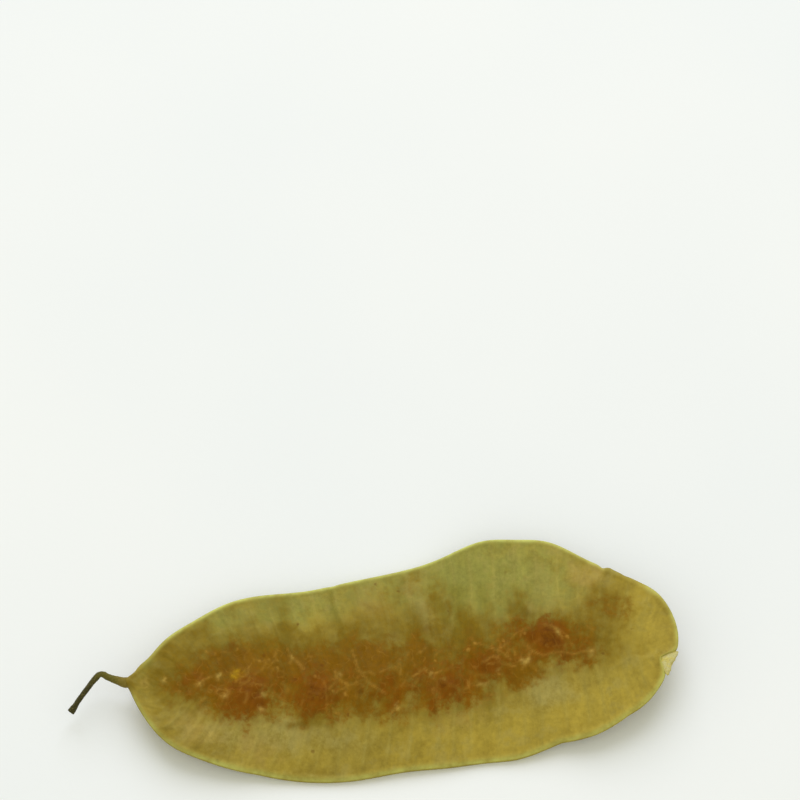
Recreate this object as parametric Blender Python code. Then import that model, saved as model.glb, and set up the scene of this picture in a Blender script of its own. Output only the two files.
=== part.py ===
# A dried senna pod lying on its flat side, with the thin stalk that it hung from.
# Metres, +Z up. +X runs along the pod from the stalk to the tip, +Y towards its more curved edge.

import math
import random

import bmesh
import bpy
import numpy as np
from mathutils import Matrix, Vector

MM = 0.001
COLLECTION = "senna_pod"

# Where the blade's middle lies, so that pod and stalk together are centred on the origin
BLADE_CENTRE = (2.8 * MM, -0.65 * MM)

# Plan of the blade: half its length, then stations as a share of it, with the two edges in millimetres
HALF_LENGTH = 25.2 * MM
EDGE_STATIONS = (
    (-0.95, -4.2, 0.8),
    (-0.88, -6.6, 2.5),
    (-0.78, -8.4, 4.4),
    (-0.65, -9.3, 6.3),
    (-0.50, -10.0, 7.2),
    (-0.35, -10.5, 7.6),
    (-0.20, -10.5, 8.5),
    (0.00, -9.8, 9.6),
    (0.15, -9.5, 10.6),
    (0.30, -9.1, 11.8),
    (0.42, -8.8, 11.8),
    (0.55, -7.8, 11.5),
    (0.70, -7.0, 9.4),
    (0.80, -5.7, 8.1),
    (0.88, -4.3, 6.8),
    (0.95, -2.1, 5.2),
)
# At the two ends: the middle line's offset, and the half width that the end's roundness belongs to
BASE_OFFSET = -0.8
BASE_BLUNTNESS = 6.95
TIP_OFFSET = 1.4
TIP_BLUNTNESS = 11.1

# Grid of each face: cells along and across, and the two narrow rings of cells behind the edge
CELLS_ALONG = 124
CELLS_ACROSS = 20
RING_GAPS = (0.35 * MM, 0.45 * MM)
HALF_WIDTH = 10.5 * MM
# How far the square grid's ends bow out to the ellipse; the rest of 1 is how far its long sides do
END_BOW = 0.2

# Half the thickness of the blade: at its very edge, behind the seam and along the middle
EDGE_HALF = 0.22 * MM
MARGIN_HALF = 0.34 * MM
MIDDLE_HALF = 0.42 * MM
MARGIN_BREADTH = 5.0 * MM
EDGE_SLOPE = 0.9

# The thread-like seam that runs round the edge
SEAM_RISE = 0.13 * MM
SEAM_INSET = 0.36 * MM
SEAM_WIDTH = 0.24 * MM

# Seed bulges: place along and across in millimetres, and size as a share of a full one
SEEDS = (
    (-19.0, -1.6, 0.55),
    (-13.9, -2.7, 1.0),
    (-8.3, -2.5, 1.0),
    (-2.3, -1.0, 0.95),
    (3.7, -1.2, 0.95),
    (8.3, 0.7, 0.9),
    (13.3, 2.4, 1.0),
    (17.5, 1.2, 0.6),
)
SEED_RISE = 0.62 * MM
SEED_ALONG = 2.1 * MM
SEED_ACROSS = 3.1 * MM
SEED_SQUARENESS = 1.3

# Cross veins that run in from both edges, lean towards the tip and fork before the middle
VEINS_PER_EDGE = 23
VEIN_REACH = 0.95
VEIN_RISE = 0.13 * MM
VEIN_WIDTH = 0.27 * MM
VEIN_FAN = 0.12
VEIN_LEAN = 0.05
VEIN_SHIFT = 0.012
VEIN_WAVER = 0.014
VEIN_WAVER_TURNS = 5.0
VEIN_FORK_AT = 0.5
VEIN_FORK_SPREAD = 0.11
VEIN_FADE = 0.75
VEIN_SEED = 11
# The veins rise from nothing between these two distances from the edge
VEIN_START = (0.4 * MM, 1.2 * MM)

# How drying has warped the blade
CROWN = 1.5 * MM
CROWN_FALL = 0.35
TIP_LIFT = 2.6 * MM
BASE_LIFT = 1.5 * MM
LIFT_POWER = 2.3
LOBE_LIFT = 1.0 * MM
LOBE_PLACE = 0.34
LOBE_SPAN = 0.2
LOBE_POWER = 1.5
EDGE_WAVE = 0.32 * MM
EDGE_WAVE_LENGTH = 0.84

# The three spots that bear on the surface are pressed flat by this much
PRESSED_FLAT = 0.2 * MM

# The notch at the tip: its place across, and how far it runs up and down from there
NOTCH_PLACE = -0.5 * MM
NOTCH_DEPTH = 1.3 * MM
NOTCH_UP = 0.45 * MM
NOTCH_DOWN = 1.1 * MM
NOTCH_FADE = 1.6 * MM
NOTCH_FROM = 0.8

# The stump of the style, which fills the notch and points along and down
STYLE_LENGTH = 2.0 * MM
STYLE_ROOT = 0.42 * MM
STYLE_END = 0.18 * MM
STYLE_SIDES = 10
STYLE_SINK = 0.7 * MM
STYLE_TURN = math.radians(-40.0)
STYLE_PITCH = math.radians(78.0)

# The stalk: points along its middle from the pod's base and the radius at each, in millimetres
STALK_GAP = 0.3 * MM
STALK_POINTS = (
    (0.0, -0.5, 0.0, 0.62),
    (-0.65, -0.3, 0.02, 0.47),
    (-1.55, 0.0, 0.05, 0.37),
    (-2.2, 0.28, 0.1, 0.33),
    (-2.75, -0.15, 0.05, 0.34),
    (-3.4, -0.95, -0.1, 0.31),
    (-4.05, -1.7, -0.35, 0.3),
    (-4.6, -2.45, -0.65, 0.31),
    (-5.0, -2.95, -0.9, 0.37),
)
STALK_STEPS = 4
STALK_SIDES_LEVEL = 2

# Colour and roughness
POD_FINISH = ((0.33, 0.25, 0.07), 0.62)
STALK_FINISH = ((0.12, 0.10, 0.02), 0.7)


def clear_scene():
    for leftover in list(bpy.data.objects):
        bpy.data.objects.remove(leftover, do_unlink=True)


def finish(name, colour, roughness):
    material = bpy.data.materials.new(name)
    material.use_nodes = True
    shader = material.node_tree.nodes["Principled BSDF"]
    shader.inputs["Base Color"].default_value = (*colour, 1.0)
    shader.inputs["Roughness"].default_value = roughness
    shader.inputs["Metallic"].default_value = 0.0
    return material


def new_collection(name):
    collection = bpy.data.collections.new(name)
    bpy.context.scene.collection.children.link(collection)
    return collection


def smooth_through(places, values, at):
    """A natural cubic spline through the places, read at other ones."""
    places = np.array(places)
    values = np.array(values)
    steps = np.diff(places)
    slopes = np.diff(values) / steps
    count = len(places)
    balance = np.eye(count)
    pull = np.zeros(count)
    for i in range(1, count - 1):
        balance[i, i - 1] = steps[i - 1]
        balance[i, i] = 2.0 * (steps[i - 1] + steps[i])
        balance[i, i + 1] = steps[i]
        pull[i] = 6.0 * (slopes[i] - slopes[i - 1])
    bend = np.linalg.solve(balance, pull)
    i = np.clip(np.searchsorted(places, at) - 1, 0, count - 2)
    t = at - places[i]
    left = slopes[i] - steps[i] * (2.0 * bend[i] + bend[i + 1]) / 6.0
    return values[i] + t * (left + t * (bend[i] / 2.0 + t * (bend[i + 1] - bend[i]) / (6.0 * steps[i])))


def plan(along):
    """The middle line's offset, and the half width of an ellipse that is as full there as the pod."""
    places = [-1.0]
    offsets = [BASE_OFFSET]
    widths = [BASE_BLUNTNESS]
    for place, low, high in EDGE_STATIONS:
        places.append(place)
        offsets.append((low + high) / 2.0)
        widths.append((high - low) / 2.0 / math.sqrt(1.0 - place * place))
    places.append(1.0)
    offsets.append(TIP_OFFSET)
    widths.append(TIP_BLUNTNESS)
    offset = smooth_through(places, offsets, along) * MM
    width = smooth_through(places, widths, along) * MM
    return offset, width


def ring_places(cells, half_size):
    """Places of the grid's lines from -1 to 1, with the two narrow cells at each end."""
    first = RING_GAPS[0] / half_size
    second = first + RING_GAPS[1] / half_size
    inner = np.linspace(-1.0 + second, 1.0 - second, cells - 3)
    return np.concatenate(([-1.0, -1.0 + first], inner, [1.0 - first, 1.0]))


def distance_from_edge(along, across, width):
    """How far a point lies from the edge, read from the slope of the ellipse through it."""
    slope = np.sqrt((along / HALF_LENGTH) ** 2 + (across / width) ** 2) + 1e-9
    return np.maximum(1.0 - along**2 - across**2, 0.0) / (2.0 * slope)


def warp(along, across):
    """Height of the blade's middle sheet: arched across, with its ends and one lobe lifted."""
    height = CROWN * (1.0 - across**2) * (1.0 - CROWN_FALL * along**2)
    height += TIP_LIFT * np.maximum(along, 0.0) ** LIFT_POWER
    height += BASE_LIFT * np.maximum(-along, 0.0) ** LIFT_POWER
    lobe = np.exp(-(((along - LOBE_PLACE) / LOBE_SPAN) ** 2))
    height += LOBE_LIFT * lobe * np.maximum(across, 0.0) ** LOBE_POWER
    wave = EDGE_WAVE * np.cos(2.0 * math.pi * along / EDGE_WAVE_LENGTH)
    return height - wave * across * np.abs(across)


def seed_bulges(x, y):
    rise = np.zeros_like(x)
    for along, across, size in SEEDS:
        dx = (x - along * MM) / (SEED_ALONG * math.sqrt(size))
        dy = (y - across * MM) / (SEED_ACROSS * math.sqrt(size))
        here = SEED_RISE * size * np.exp(-((dx**2 + dy**2) ** SEED_SQUARENESS))
        rise = np.maximum(rise, here)
    return rise


def vein_lines():
    """Each vein: the edge it starts from, where along it, how far it wavers and how strong it is."""
    draw = random.Random(VEIN_SEED)
    lines = []
    for edge in (-1.0, 1.0):
        for i in range(VEINS_PER_EDGE):
            start = VEIN_REACH * (2.0 * (i + 0.5) / VEINS_PER_EDGE - 1.0)
            start += draw.uniform(-VEIN_SHIFT, VEIN_SHIFT)
            lines.append((edge, start, draw.uniform(-VEIN_WAVER, VEIN_WAVER), draw.uniform(0.8, 1.15)))
    return lines


def vein_ridges(along, across):
    """Height of the veins: 1 on a vein and 0 between them, fading towards the middle."""
    reach = np.sqrt(np.maximum(1.0 - along**2, 1e-6))
    depth = np.clip(1.0 - np.abs(across) / reach, 0.0, 1.0)
    forked = VEIN_FORK_SPREAD * np.maximum(depth - VEIN_FORK_AT, 0.0)
    fade = 1.0 - VEIN_FADE * depth**2
    ridge = np.zeros_like(along)
    for edge, start, waver, strength in vein_lines():
        line = start * (1.0 - VEIN_FAN * depth) + VEIN_LEAN * depth
        line += waver * np.sin(VEIN_WAVER_TURNS * depth)
        for branch in (-0.5, 0.5):
            apart = (along - line - branch * forked) * HALF_LENGTH / VEIN_WIDTH
            here = strength * fade * np.exp(-(apart**2))
            ridge = np.where(across * edge > 0.0, np.maximum(ridge, here), ridge)
    return ridge


def half_thickness(along, across, x, y, inward):
    """Half the blade's thickness, with the seam, the veins and the seed bulges raised from it."""
    half = MARGIN_HALF + (MIDDLE_HALF - MARGIN_HALF) * np.clip(inward / MARGIN_BREADTH, 0.0, 1.0)
    half += SEAM_RISE * np.exp(-(((inward - SEAM_INSET) / SEAM_WIDTH) ** 2))
    started = np.clip((inward - VEIN_START[0]) / (VEIN_START[1] - VEIN_START[0]), 0.0, 1.0)
    half += VEIN_RISE * vein_ridges(along, across) * started
    half += seed_bulges(x, y)
    return np.minimum(half, EDGE_HALF + EDGE_SLOPE * inward)


def notch(x, y, inward):
    """How far the tip is drawn in at the notch."""
    breadth = np.where(y > NOTCH_PLACE, NOTCH_UP, NOTCH_DOWN)
    dent = np.exp(-(((y - NOTCH_PLACE) / breadth) ** 2)) * np.exp(-inward / NOTCH_FADE)
    return NOTCH_DEPTH * dent * (x > NOTCH_FROM * HALF_LENGTH)


def blade_points(u, v):
    """Plan and both heights of the blade, for places on the square from -1 to 1."""
    along = u * np.sqrt(1.0 - END_BOW * v**2)
    across = v * np.sqrt(1.0 - (1.0 - END_BOW) * u**2)
    offset, width = plan(along)
    inward = distance_from_edge(along, across, width)
    x = HALF_LENGTH * along
    y = offset + across * width
    half = half_thickness(along, across, x, y, inward)
    middle = warp(along, across)
    return x - notch(x, y, inward), y, middle + half, middle - half


def inside(corners, x, y):
    """Whether a point lies inside the triangle, seen from above."""
    turns = []
    for i in range(3):
        ax, ay = corners[i][0], corners[i][1]
        bx, by = corners[(i + 1) % 3][0], corners[(i + 1) % 3][1]
        turns.append((bx - ax) * (y - ay) - (by - ay) * (x - ax) >= 0.0)
    return all(turns) or not any(turns)


def plane_through(corners):
    rows = np.array([(p[0], p[1], 1.0) for p in corners])
    return np.linalg.solve(rows, np.array([p[2] for p in corners]))


def resting_plane(x, y, under, weight):
    """The plane that the blade comes to rest on: through three low points round its weight."""
    middle_x = float(np.average(x, weights=weight))
    middle_y = float(np.average(y, weights=weight))
    far = 3.0 * HALF_LENGTH
    corners = []
    for turn in (0.3, 2.4, 4.5):
        corners.append((middle_x + far * math.cos(turn), middle_y + far * math.sin(turn), 1.0))
    plane = plane_through(corners)
    gaps = under - (plane[0] * x + plane[1] * y + plane[2])
    while gaps.min() < -1e-9:
        lowest = int(np.argmin(gaps))
        for i in range(3):
            trial = list(corners)
            trial[i] = (float(x[lowest]), float(y[lowest]), float(under[lowest]))
            if inside(trial, middle_x, middle_y):
                corners = trial
                break
        plane = plane_through(corners)
        gaps = under - (plane[0] * x + plane[1] * y + plane[2])
    return plane


def laid_down(u, v):
    """The blade's points with three spots of its underside pressed flat on the surface."""
    x, y, top, under = blade_points(u, v)
    lines_u = ring_places(CELLS_ALONG, HALF_LENGTH)
    lines_v = ring_places(CELLS_ACROSS, HALF_WIDTH)
    cell = np.interp(u, lines_u, np.gradient(lines_u)) * np.interp(v, lines_v, np.gradient(lines_v))
    plane = resting_plane(x, y, under, cell * (top - under))
    floor = plane[0] * x + plane[1] * y + plane[2] + PRESSED_FLAT
    x = x + BLADE_CENTRE[0]
    y = y + BLADE_CENTRE[1]
    return x, y, top - floor, np.maximum(under - floor, 0.0)


def two_faced_grid(mesh):
    """A triangulated grid, its copy facing the other way, and a wall that joins them round the edge."""
    bmesh.ops.create_grid(mesh, x_segments=CELLS_ALONG, y_segments=CELLS_ACROSS, size=1.0)
    bmesh.ops.triangulate(mesh, faces=mesh.faces[:], quad_method="ALTERNATE")
    upper = mesh.verts[:]
    copied = bmesh.ops.duplicate(mesh, geom=mesh.verts[:] + mesh.edges[:] + mesh.faces[:])
    lower = [copied["vert_map"][vertex] for vertex in upper]
    bmesh.ops.reverse_faces(mesh, faces=[g for g in copied["geom"] if isinstance(g, bmesh.types.BMFace)])
    bmesh.ops.bridge_loops(mesh, edges=[edge for edge in mesh.edges if edge.is_boundary])
    bmesh.ops.triangulate(mesh, faces=[face for face in mesh.faces if len(face.verts) > 3])
    return upper, lower


def make_pod(material):
    """The blade. Also gives its base, where the stalk meets it, and the deepest part of the notch."""
    mesh = bmesh.new()
    upper, lower = two_faced_grid(mesh)
    even = np.linspace(-1.0, 1.0, CELLS_ALONG + 1)
    u = np.interp([vertex.co.x for vertex in upper], even, ring_places(CELLS_ALONG, HALF_LENGTH))
    even = np.linspace(-1.0, 1.0, CELLS_ACROSS + 1)
    v = np.interp([vertex.co.y for vertex in upper], even, ring_places(CELLS_ACROSS, HALF_WIDTH))
    x, y, top, under = laid_down(u, v)
    for i in range(len(upper)):
        upper[i].co = (x[i], y[i], top[i])
        lower[i].co = (x[i], y[i], under[i])
    bmesh.ops.recalc_face_normals(mesh, faces=mesh.faces[:])
    data = bpy.data.meshes.new("pod")
    mesh.to_mesh(data)
    mesh.free()
    data.materials.append(material)
    data.shade_smooth()
    middle = np.column_stack((x, y, (top + under) / 2.0))
    base = middle[int(np.argmin(x))]
    from_notch = np.abs(y - BLADE_CENTRE[1] - NOTCH_PLACE) + (u < 1.0)
    notch_root = middle[int(np.argmin(from_notch))]
    return bpy.data.objects.new("pod", data), Vector(base), Vector(notch_root)


def style_stump(root):
    """A blunt cone rooted in the deepest part of the notch."""
    mesh = bmesh.new()
    bmesh.ops.create_cone(
        mesh,
        cap_ends=True,
        segments=STYLE_SIDES,
        radius1=STYLE_ROOT,
        radius2=STYLE_END,
        depth=STYLE_LENGTH,
    )
    bmesh.ops.translate(mesh, verts=mesh.verts[:], vec=(0.0, 0.0, STYLE_LENGTH / 2.0 - STYLE_SINK))
    data = bpy.data.meshes.new("style_stump")
    mesh.to_mesh(data)
    mesh.free()
    stump = bpy.data.objects.new("style_stump", data)
    turned = Matrix.Rotation(STYLE_TURN, 4, "Z") @ Matrix.Rotation(STYLE_PITCH, 4, "Y")
    stump.matrix_world = Matrix.Translation(root) @ turned
    stump.hide_render = True
    stump.display_type = "WIRE"
    return stump


def fuse(whole, piece):
    union = whole.modifiers.new("fuse_" + piece.name, "BOOLEAN")
    union.operation = "UNION"
    union.solver = "EXACT"
    union.object = piece


def make_stalk(material, base):
    """The bent stalk, flared where it meets the pod."""
    curve = bpy.data.curves.new("stalk", "CURVE")
    curve.dimensions = "3D"
    curve.resolution_u = STALK_STEPS
    curve.bevel_depth = MM
    curve.bevel_resolution = STALK_SIDES_LEVEL
    curve.use_fill_caps = True
    spline = curve.splines.new("BEZIER")
    spline.bezier_points.add(len(STALK_POINTS) - 1)
    start = base - Vector((STALK_GAP, 0.0, 0.0))
    for point, (x, y, z, radius) in zip(spline.bezier_points, STALK_POINTS):
        point.co = start + Vector((x, y, z)) * MM
        point.radius = radius
        point.handle_left_type = "AUTO"
        point.handle_right_type = "AUTO"
    curve.materials.append(material)
    return bpy.data.objects.new("stalk", curve)


def main():
    clear_scene()
    parts = new_collection(COLLECTION)
    cutters = new_collection("cutters")
    pod, base, notch_root = make_pod(finish("pod", *POD_FINISH))
    parts.objects.link(pod)
    stump = style_stump(notch_root)
    cutters.objects.link(stump)
    fuse(pod, stump)
    parts.objects.link(make_stalk(finish("stalk", *STALK_FINISH), base))


main()
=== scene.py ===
import math
import random
from collections import namedtuple

import bmesh
import bpy
import numpy as np
from mathutils import Matrix, Vector, noise
from mathutils.bvhtree import BVHTree


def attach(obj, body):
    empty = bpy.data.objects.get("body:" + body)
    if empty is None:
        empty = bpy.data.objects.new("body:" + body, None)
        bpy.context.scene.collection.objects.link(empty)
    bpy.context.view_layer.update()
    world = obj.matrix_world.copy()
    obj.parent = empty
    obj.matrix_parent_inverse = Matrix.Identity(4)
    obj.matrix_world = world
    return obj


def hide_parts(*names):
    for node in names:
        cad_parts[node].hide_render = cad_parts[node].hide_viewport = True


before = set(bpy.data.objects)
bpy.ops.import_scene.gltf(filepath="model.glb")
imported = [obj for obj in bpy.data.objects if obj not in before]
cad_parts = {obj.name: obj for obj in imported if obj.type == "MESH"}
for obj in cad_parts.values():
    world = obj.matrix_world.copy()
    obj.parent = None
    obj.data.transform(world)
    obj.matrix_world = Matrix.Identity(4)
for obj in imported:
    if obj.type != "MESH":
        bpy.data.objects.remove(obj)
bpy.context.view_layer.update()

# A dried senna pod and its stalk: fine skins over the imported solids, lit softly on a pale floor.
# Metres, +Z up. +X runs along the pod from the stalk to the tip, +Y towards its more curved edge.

MM = 0.001

# The blade's own form, with the same values as the solids
BLADE_CENTRE = (2.8 * MM, -0.65 * MM)
HALF_LENGTH = 25.2 * MM
EDGE_STATIONS = (
    (-0.95, -4.2, 0.8),
    (-0.88, -6.6, 2.5),
    (-0.78, -8.4, 4.4),
    (-0.65, -9.3, 6.3),
    (-0.50, -10.0, 7.2),
    (-0.35, -10.5, 7.6),
    (-0.20, -10.5, 8.5),
    (0.00, -9.8, 9.6),
    (0.15, -9.5, 10.6),
    (0.30, -9.1, 11.8),
    (0.42, -8.8, 11.8),
    (0.55, -7.8, 11.5),
    (0.70, -7.0, 9.4),
    (0.80, -5.7, 8.1),
    (0.88, -4.3, 6.8),
    (0.95, -2.1, 5.2),
)
BASE_OFFSET = -0.8
BASE_BLUNTNESS = 6.95
TIP_OFFSET = 1.4
TIP_BLUNTNESS = 11.1
SOLID_CELLS = (124, 20)
RING_GAPS = (0.35 * MM, 0.45 * MM)
HALF_WIDTH = 10.5 * MM
END_BOW = 0.2
EDGE_HALF = 0.22 * MM
MARGIN_HALF = 0.34 * MM
MIDDLE_HALF = 0.42 * MM
MARGIN_BREADTH = 5.0 * MM
EDGE_SLOPE = 0.9
SEAM_RISE = 0.13 * MM
SEAM_INSET = 0.36 * MM
SEAM_WIDTH = 0.24 * MM
SEEDS = (
    (-19.0, -1.6, 0.55),
    (-13.9, -2.7, 1.0),
    (-8.3, -2.5, 1.0),
    (-2.3, -1.0, 0.95),
    (3.7, -1.2, 0.95),
    (8.3, 0.7, 0.9),
    (13.3, 2.4, 1.0),
    (17.5, 1.2, 0.6),
)
SEED_RISE = 0.62 * MM
SEED_ALONG = 2.1 * MM
SEED_ACROSS = 3.1 * MM
SEED_SQUARENESS = 1.3
VEINS_PER_EDGE = 23
VEIN_REACH = 0.95
VEIN_RISE = 0.13 * MM
VEIN_WIDTH = 0.27 * MM
VEIN_FAN = 0.12
VEIN_LEAN = 0.05
VEIN_SHIFT = 0.012
VEIN_WAVER = 0.014
VEIN_WAVER_TURNS = 5.0
VEIN_STRENGTH = (0.8, 1.15)
VEIN_FORK_AT = 0.5
VEIN_FORK_SPREAD = 0.11
VEIN_FADE = 0.75
VEIN_SEED = 11
VEIN_START = (0.4 * MM, 1.2 * MM)
CROWN = 1.5 * MM
CROWN_FALL = 0.35
TIP_LIFT = 2.6 * MM
BASE_LIFT = 1.5 * MM
LIFT_POWER = 2.3
LOBE_LIFT = 1.0 * MM
LOBE_PLACE = 0.34
LOBE_SPAN = 0.2
LOBE_POWER = 1.5
EDGE_WAVE = 0.32 * MM
EDGE_WAVE_LENGTH = 0.84
NOTCH_PLACE = -0.5 * MM
NOTCH_DEPTH = 1.3 * MM
NOTCH_UP = 0.45 * MM
NOTCH_DOWN = 1.1 * MM
NOTCH_FADE = 1.6 * MM
NOTCH_FROM = 0.8

# The stalk starts this far from the base, as in the solids
STALK_GAP = 0.3 * MM

# The skin is a finer grid than the solid's, with a rounded edge of a few rows
SKIN_CELLS = (340, 128)
SKIN_SEAM_RISE = 0.09 * MM
SEAM_BAND = 0.8 * MM
SEAM_CELLS = 8
EDGE_ROWS = 6
EDGE_ROUND = 0.12 * MM
GROOVE_DEPTH = 0.07 * MM
GROOVE_SHARE = 0.16

# The solid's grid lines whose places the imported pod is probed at, and from how high
PROBED_ALONG = slice(8, -24, 4)
PROBED_ACROSS = slice(3, -3, 2)
ABOVE = 0.1

# The number that starts each face's own draws, and how far the two faces' grains lie apart
FACE_DRAWS = {1: 40, -1: 60}
FACES_APART = 30.0

# Fine relief that only the skin carries, with the sizes of its mottlings in millimetres
FINE_VEIN_WIDTH = 0.19 * MM
NET_PITCH = (1.5, 2.3)
NET_LINE = 0.16
NET_RISE = 0.05 * MM
STRAND_RISE = 0.05 * MM
RIPPLE_RISE = 0.05 * MM
RIPPLE_SIZE = 0.6
SWELL_RISE = 0.18 * MM
SWELL_SIZE = 3.6
PUCKER_RISE = 0.2 * MM
PUCKER_SIZE = 0.9
SEED_ZONE = 4.2
RELIEF_START = 1.4 * MM

# The tables that mottlings and cells are drawn from, and a distance past any cell
TABLE_SIZE = 64
TABLE_STRIDE = 31
FAR = 9.0

# Least values, so that nothing is divided by zero
LEAST_SLOPE = 1e-9
LEAST_REACH = 1e-6

# Curly fibres over the seeds, in millimetres
STRANDS = 95
STRAND_SPAN = (-20.0, 17.5)
STRAND_SPREAD = 1.5
STRAND_CURL = 0.35
STRAND_WANDER = 0.4
STRAND_STEPS = (2, 7)
STRAND_STEP = 0.34
STRAND_BREADTH = (0.1, 0.16)
STRAND_STRENGTH = (0.2, 0.8)
ARCS = (
    ((-10.7, 2.0), (-10.4, 0.9), (-9.7, 0.3), (-9.2, -0.4)),
    ((-4.7, 1.4), (-4.2, -0.4), (-3.3, -1.9), (-1.8, -2.9)),
    ((6.0, 2.6), (6.5, 1.7), (7.6, 1.3), (8.9, 0.7), (9.8, 0.0)),
    ((11.5, 0.9), (12.6, 0.2), (14.2, 0.5), (15.6, 0.3), (17.2, 0.5)),
    ((-18.9, -1.9), (-18.3, -1.3), (-17.6, -1.0)),
    ((7.2, -0.2), (8.3, 0.3), (9.1, -0.4), (10.2, -0.6)),
    ((-6.9, -2.4), (-6.1, -1.5), (-6.3, -0.6)),
    ((0.9, -1.2), (1.9, -0.6), (2.6, -1.2), (3.4, -1.0)),
    ((13.0, 3.1), (14.1, 2.7), (14.6, 1.8)),
)
ARC_BREADTH = 0.13
PATH_REACH = 3.0

# Colour patches of the upper face: place, reach along and across in millimetres, strength
PATCH_RAG = 2.2
PATCH_RAG_SIZE = 1.3
PATCH_SPREAD = 1.12
# Olive-brown stains; two patches by the upper-left edge are painted shadow of a neighbouring pod
STAINS_AND_SHADOWS = (
    (-20.6, -0.4, 2.8, 2.2, 0.8),
    (-21.5, -3.2, 1.6, 2.0, 0.4),
    (-16.6, 0.3, 3.2, 2.4, 0.85),
    (-12.2, 0.3, 3.0, 2.5, 0.85),
    (-10.9, 3.2, 0.9, 2.2, 0.45),
    (-7.5, 0.1, 3.2, 2.4, 0.8),
    (-5.1, 2.2, 1.5, 1.9, 0.75),
    (-2.2, 0.8, 2.8, 2.6, 0.8),
    (1.3, 2.2, 1.5, 2.7, 0.7),
    (2.8, 0.2, 2.4, 2.2, 0.8),
    (5.6, 0.8, 1.8, 1.8, 0.7),
    (8.4, 1.2, 2.8, 1.7, 0.8),
    (10.6, 4.4, 1.2, 1.7, 0.5),
    (12.6, 2.9, 2.8, 1.9, 0.8),
    (16.4, 2.2, 2.2, 2.0, 0.75),
    (19.0, 5.1, 2.0, 1.7, 0.65),
    (20.6, 1.0, 2.2, 2.6, 0.28),
    (10.8, -1.4, 2.0, 1.4, 0.5),
    (-17.6, -3.0, 2.4, 1.6, 0.4),
    (-4.6, -4.0, 2.6, 1.6, 0.45),
    (-11.5, 1.8, 3.0, 1.6, 0.5),
    (-8.0, 1.6, 2.4, 1.6, 0.4),
    (6.0, 2.4, 1.9, 2.0, 0.85),
    (-8.6, -5.2, 2.0, 0.9, 0.6),
    (18.4, 2.4, 1.9, 2.4, 0.5),
    (11.3, 5.6, 1.5, 1.6, 0.35),
    (-14.6, 3.2, 3.0, 1.5, 0.35),
    (3.9, 5.2, 1.3, 2.4, 0.4),
    (-12.6, -4.6, 1.4, 0.8, 0.4),
    # Broad weak darkening over the upper middle margin
    (-1.4, 4.3, 4.2, 2.6, 0.3),
    (0.2, 7.2, 3.4, 1.8, 0.28),
    (-4.6, 7.2, 1.8, 1.6, 0.2),
    (3.2, 3.0, 1.1, 1.4, 0.35),
    (3.5, 6.6, 0.5, 1.3, 0.35),
    (4.3, 4.6, 0.45, 1.1, 0.45),
    (6.0, 3.0, 0.5, 1.6, 0.45),
    # Painted shadow of a neighbouring pod along the upper-left edge
    (-20.6, 2.6, 2.4, 1.3, 0.45),
    (7.7, 4.6, 0.5, 1.3, 0.3),
    (-11.6, 6.3, 2.2, 1.0, 0.35),
    # Painted shadow of a neighbouring pod along the upper-left edge
    (-19.4, 3.8, 1.8, 0.9, 0.4),
    (0.9, 8.7, 2.0, 1.0, 0.35),
    (-25.2, -1.3, 1.1, 0.8, 0.6),
    (-22.6, 0.2, 1.2, 1.4, 0.3),
)
BROWNED = (
    (-19.0, -1.6, 2.3, 1.7, 0.85),
    (-14.4, -2.7, 2.8, 2.5, 1.0),
    (-15.8, 0.4, 2.4, 1.8, 0.85),
    (-11.2, -1.1, 2.2, 2.0, 0.8),
    (-8.3, -2.6, 2.7, 2.4, 1.0),
    (-5.2, -0.8, 1.9, 2.2, 0.8),
    (-3.0, -1.0, 2.2, 2.4, 0.7),
    (-1.0, -2.4, 2.2, 2.4, 0.75),
    (1.6, 0.1, 1.7, 1.9, 0.6),
    (3.9, -1.9, 2.8, 2.4, 1.0),
    (6.3, -1.3, 1.8, 2.0, 0.6),
    (8.2, 0.0, 2.5, 1.8, 0.95),
    (10.6, -0.9, 2.0, 1.5, 0.85),
    (-4.4, -3.3, 2.0, 1.6, 0.7),
    (-12.4, -0.1, 2.4, 1.6, 0.85),
    (-8.6, 0.2, 2.4, 1.6, 0.8),
    (-4.6, 0.7, 2.2, 1.6, 0.8),
    (-1.7, 0.5, 1.9, 1.5, 0.65),
    (0.9, 1.6, 1.4, 1.3, 0.5),
    (-17.8, -2.2, 1.6, 1.5, 0.75),
    (1.2, -2.6, 1.4, 1.4, 0.5),
    (11.0, 2.2, 1.4, 1.2, 0.5),
    (13.2, 1.9, 3.0, 2.0, 1.0),
    (15.9, 0.6, 1.9, 1.4, 0.75),
    (19.2, 4.7, 1.6, 1.1, 0.5),
)
RUSTED = (
    (-14.3, -2.8, 2.1, 2.0, 1.0),
    (-18.8, -1.6, 1.4, 1.1, 0.35),
    (-8.2, -2.7, 2.0, 1.9, 0.95),
    (-4.9, -0.6, 1.2, 1.2, 0.3),
    (-1.5, -2.4, 1.6, 1.8, 0.6),
    (3.8, -2.1, 2.1, 1.8, 0.95),
    (8.0, -0.3, 2.0, 1.3, 0.95),
    (13.0, 2.0, 2.4, 1.5, 1.0),
    (15.4, 0.6, 1.2, 0.9, 0.45),
)
GREENED = (
    (-17.0, 4.2, 4.5, 2.6, 0.6),
    (-9.0, 6.4, 5.0, 2.4, 0.5),
    (-1.5, 8.0, 5.5, 2.6, 0.7),
    (5.5, 8.0, 5.0, 5.0, 0.95),
    (12.0, 7.8, 4.5, 4.5, 0.85),
    (20.0, -1.5, 3.5, 3.0, 0.3),
    (-23.5, -0.5, 2.0, 2.0, 0.5),
    (-10.4, 5.3, 3.0, 1.4, 0.6),
)
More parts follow.
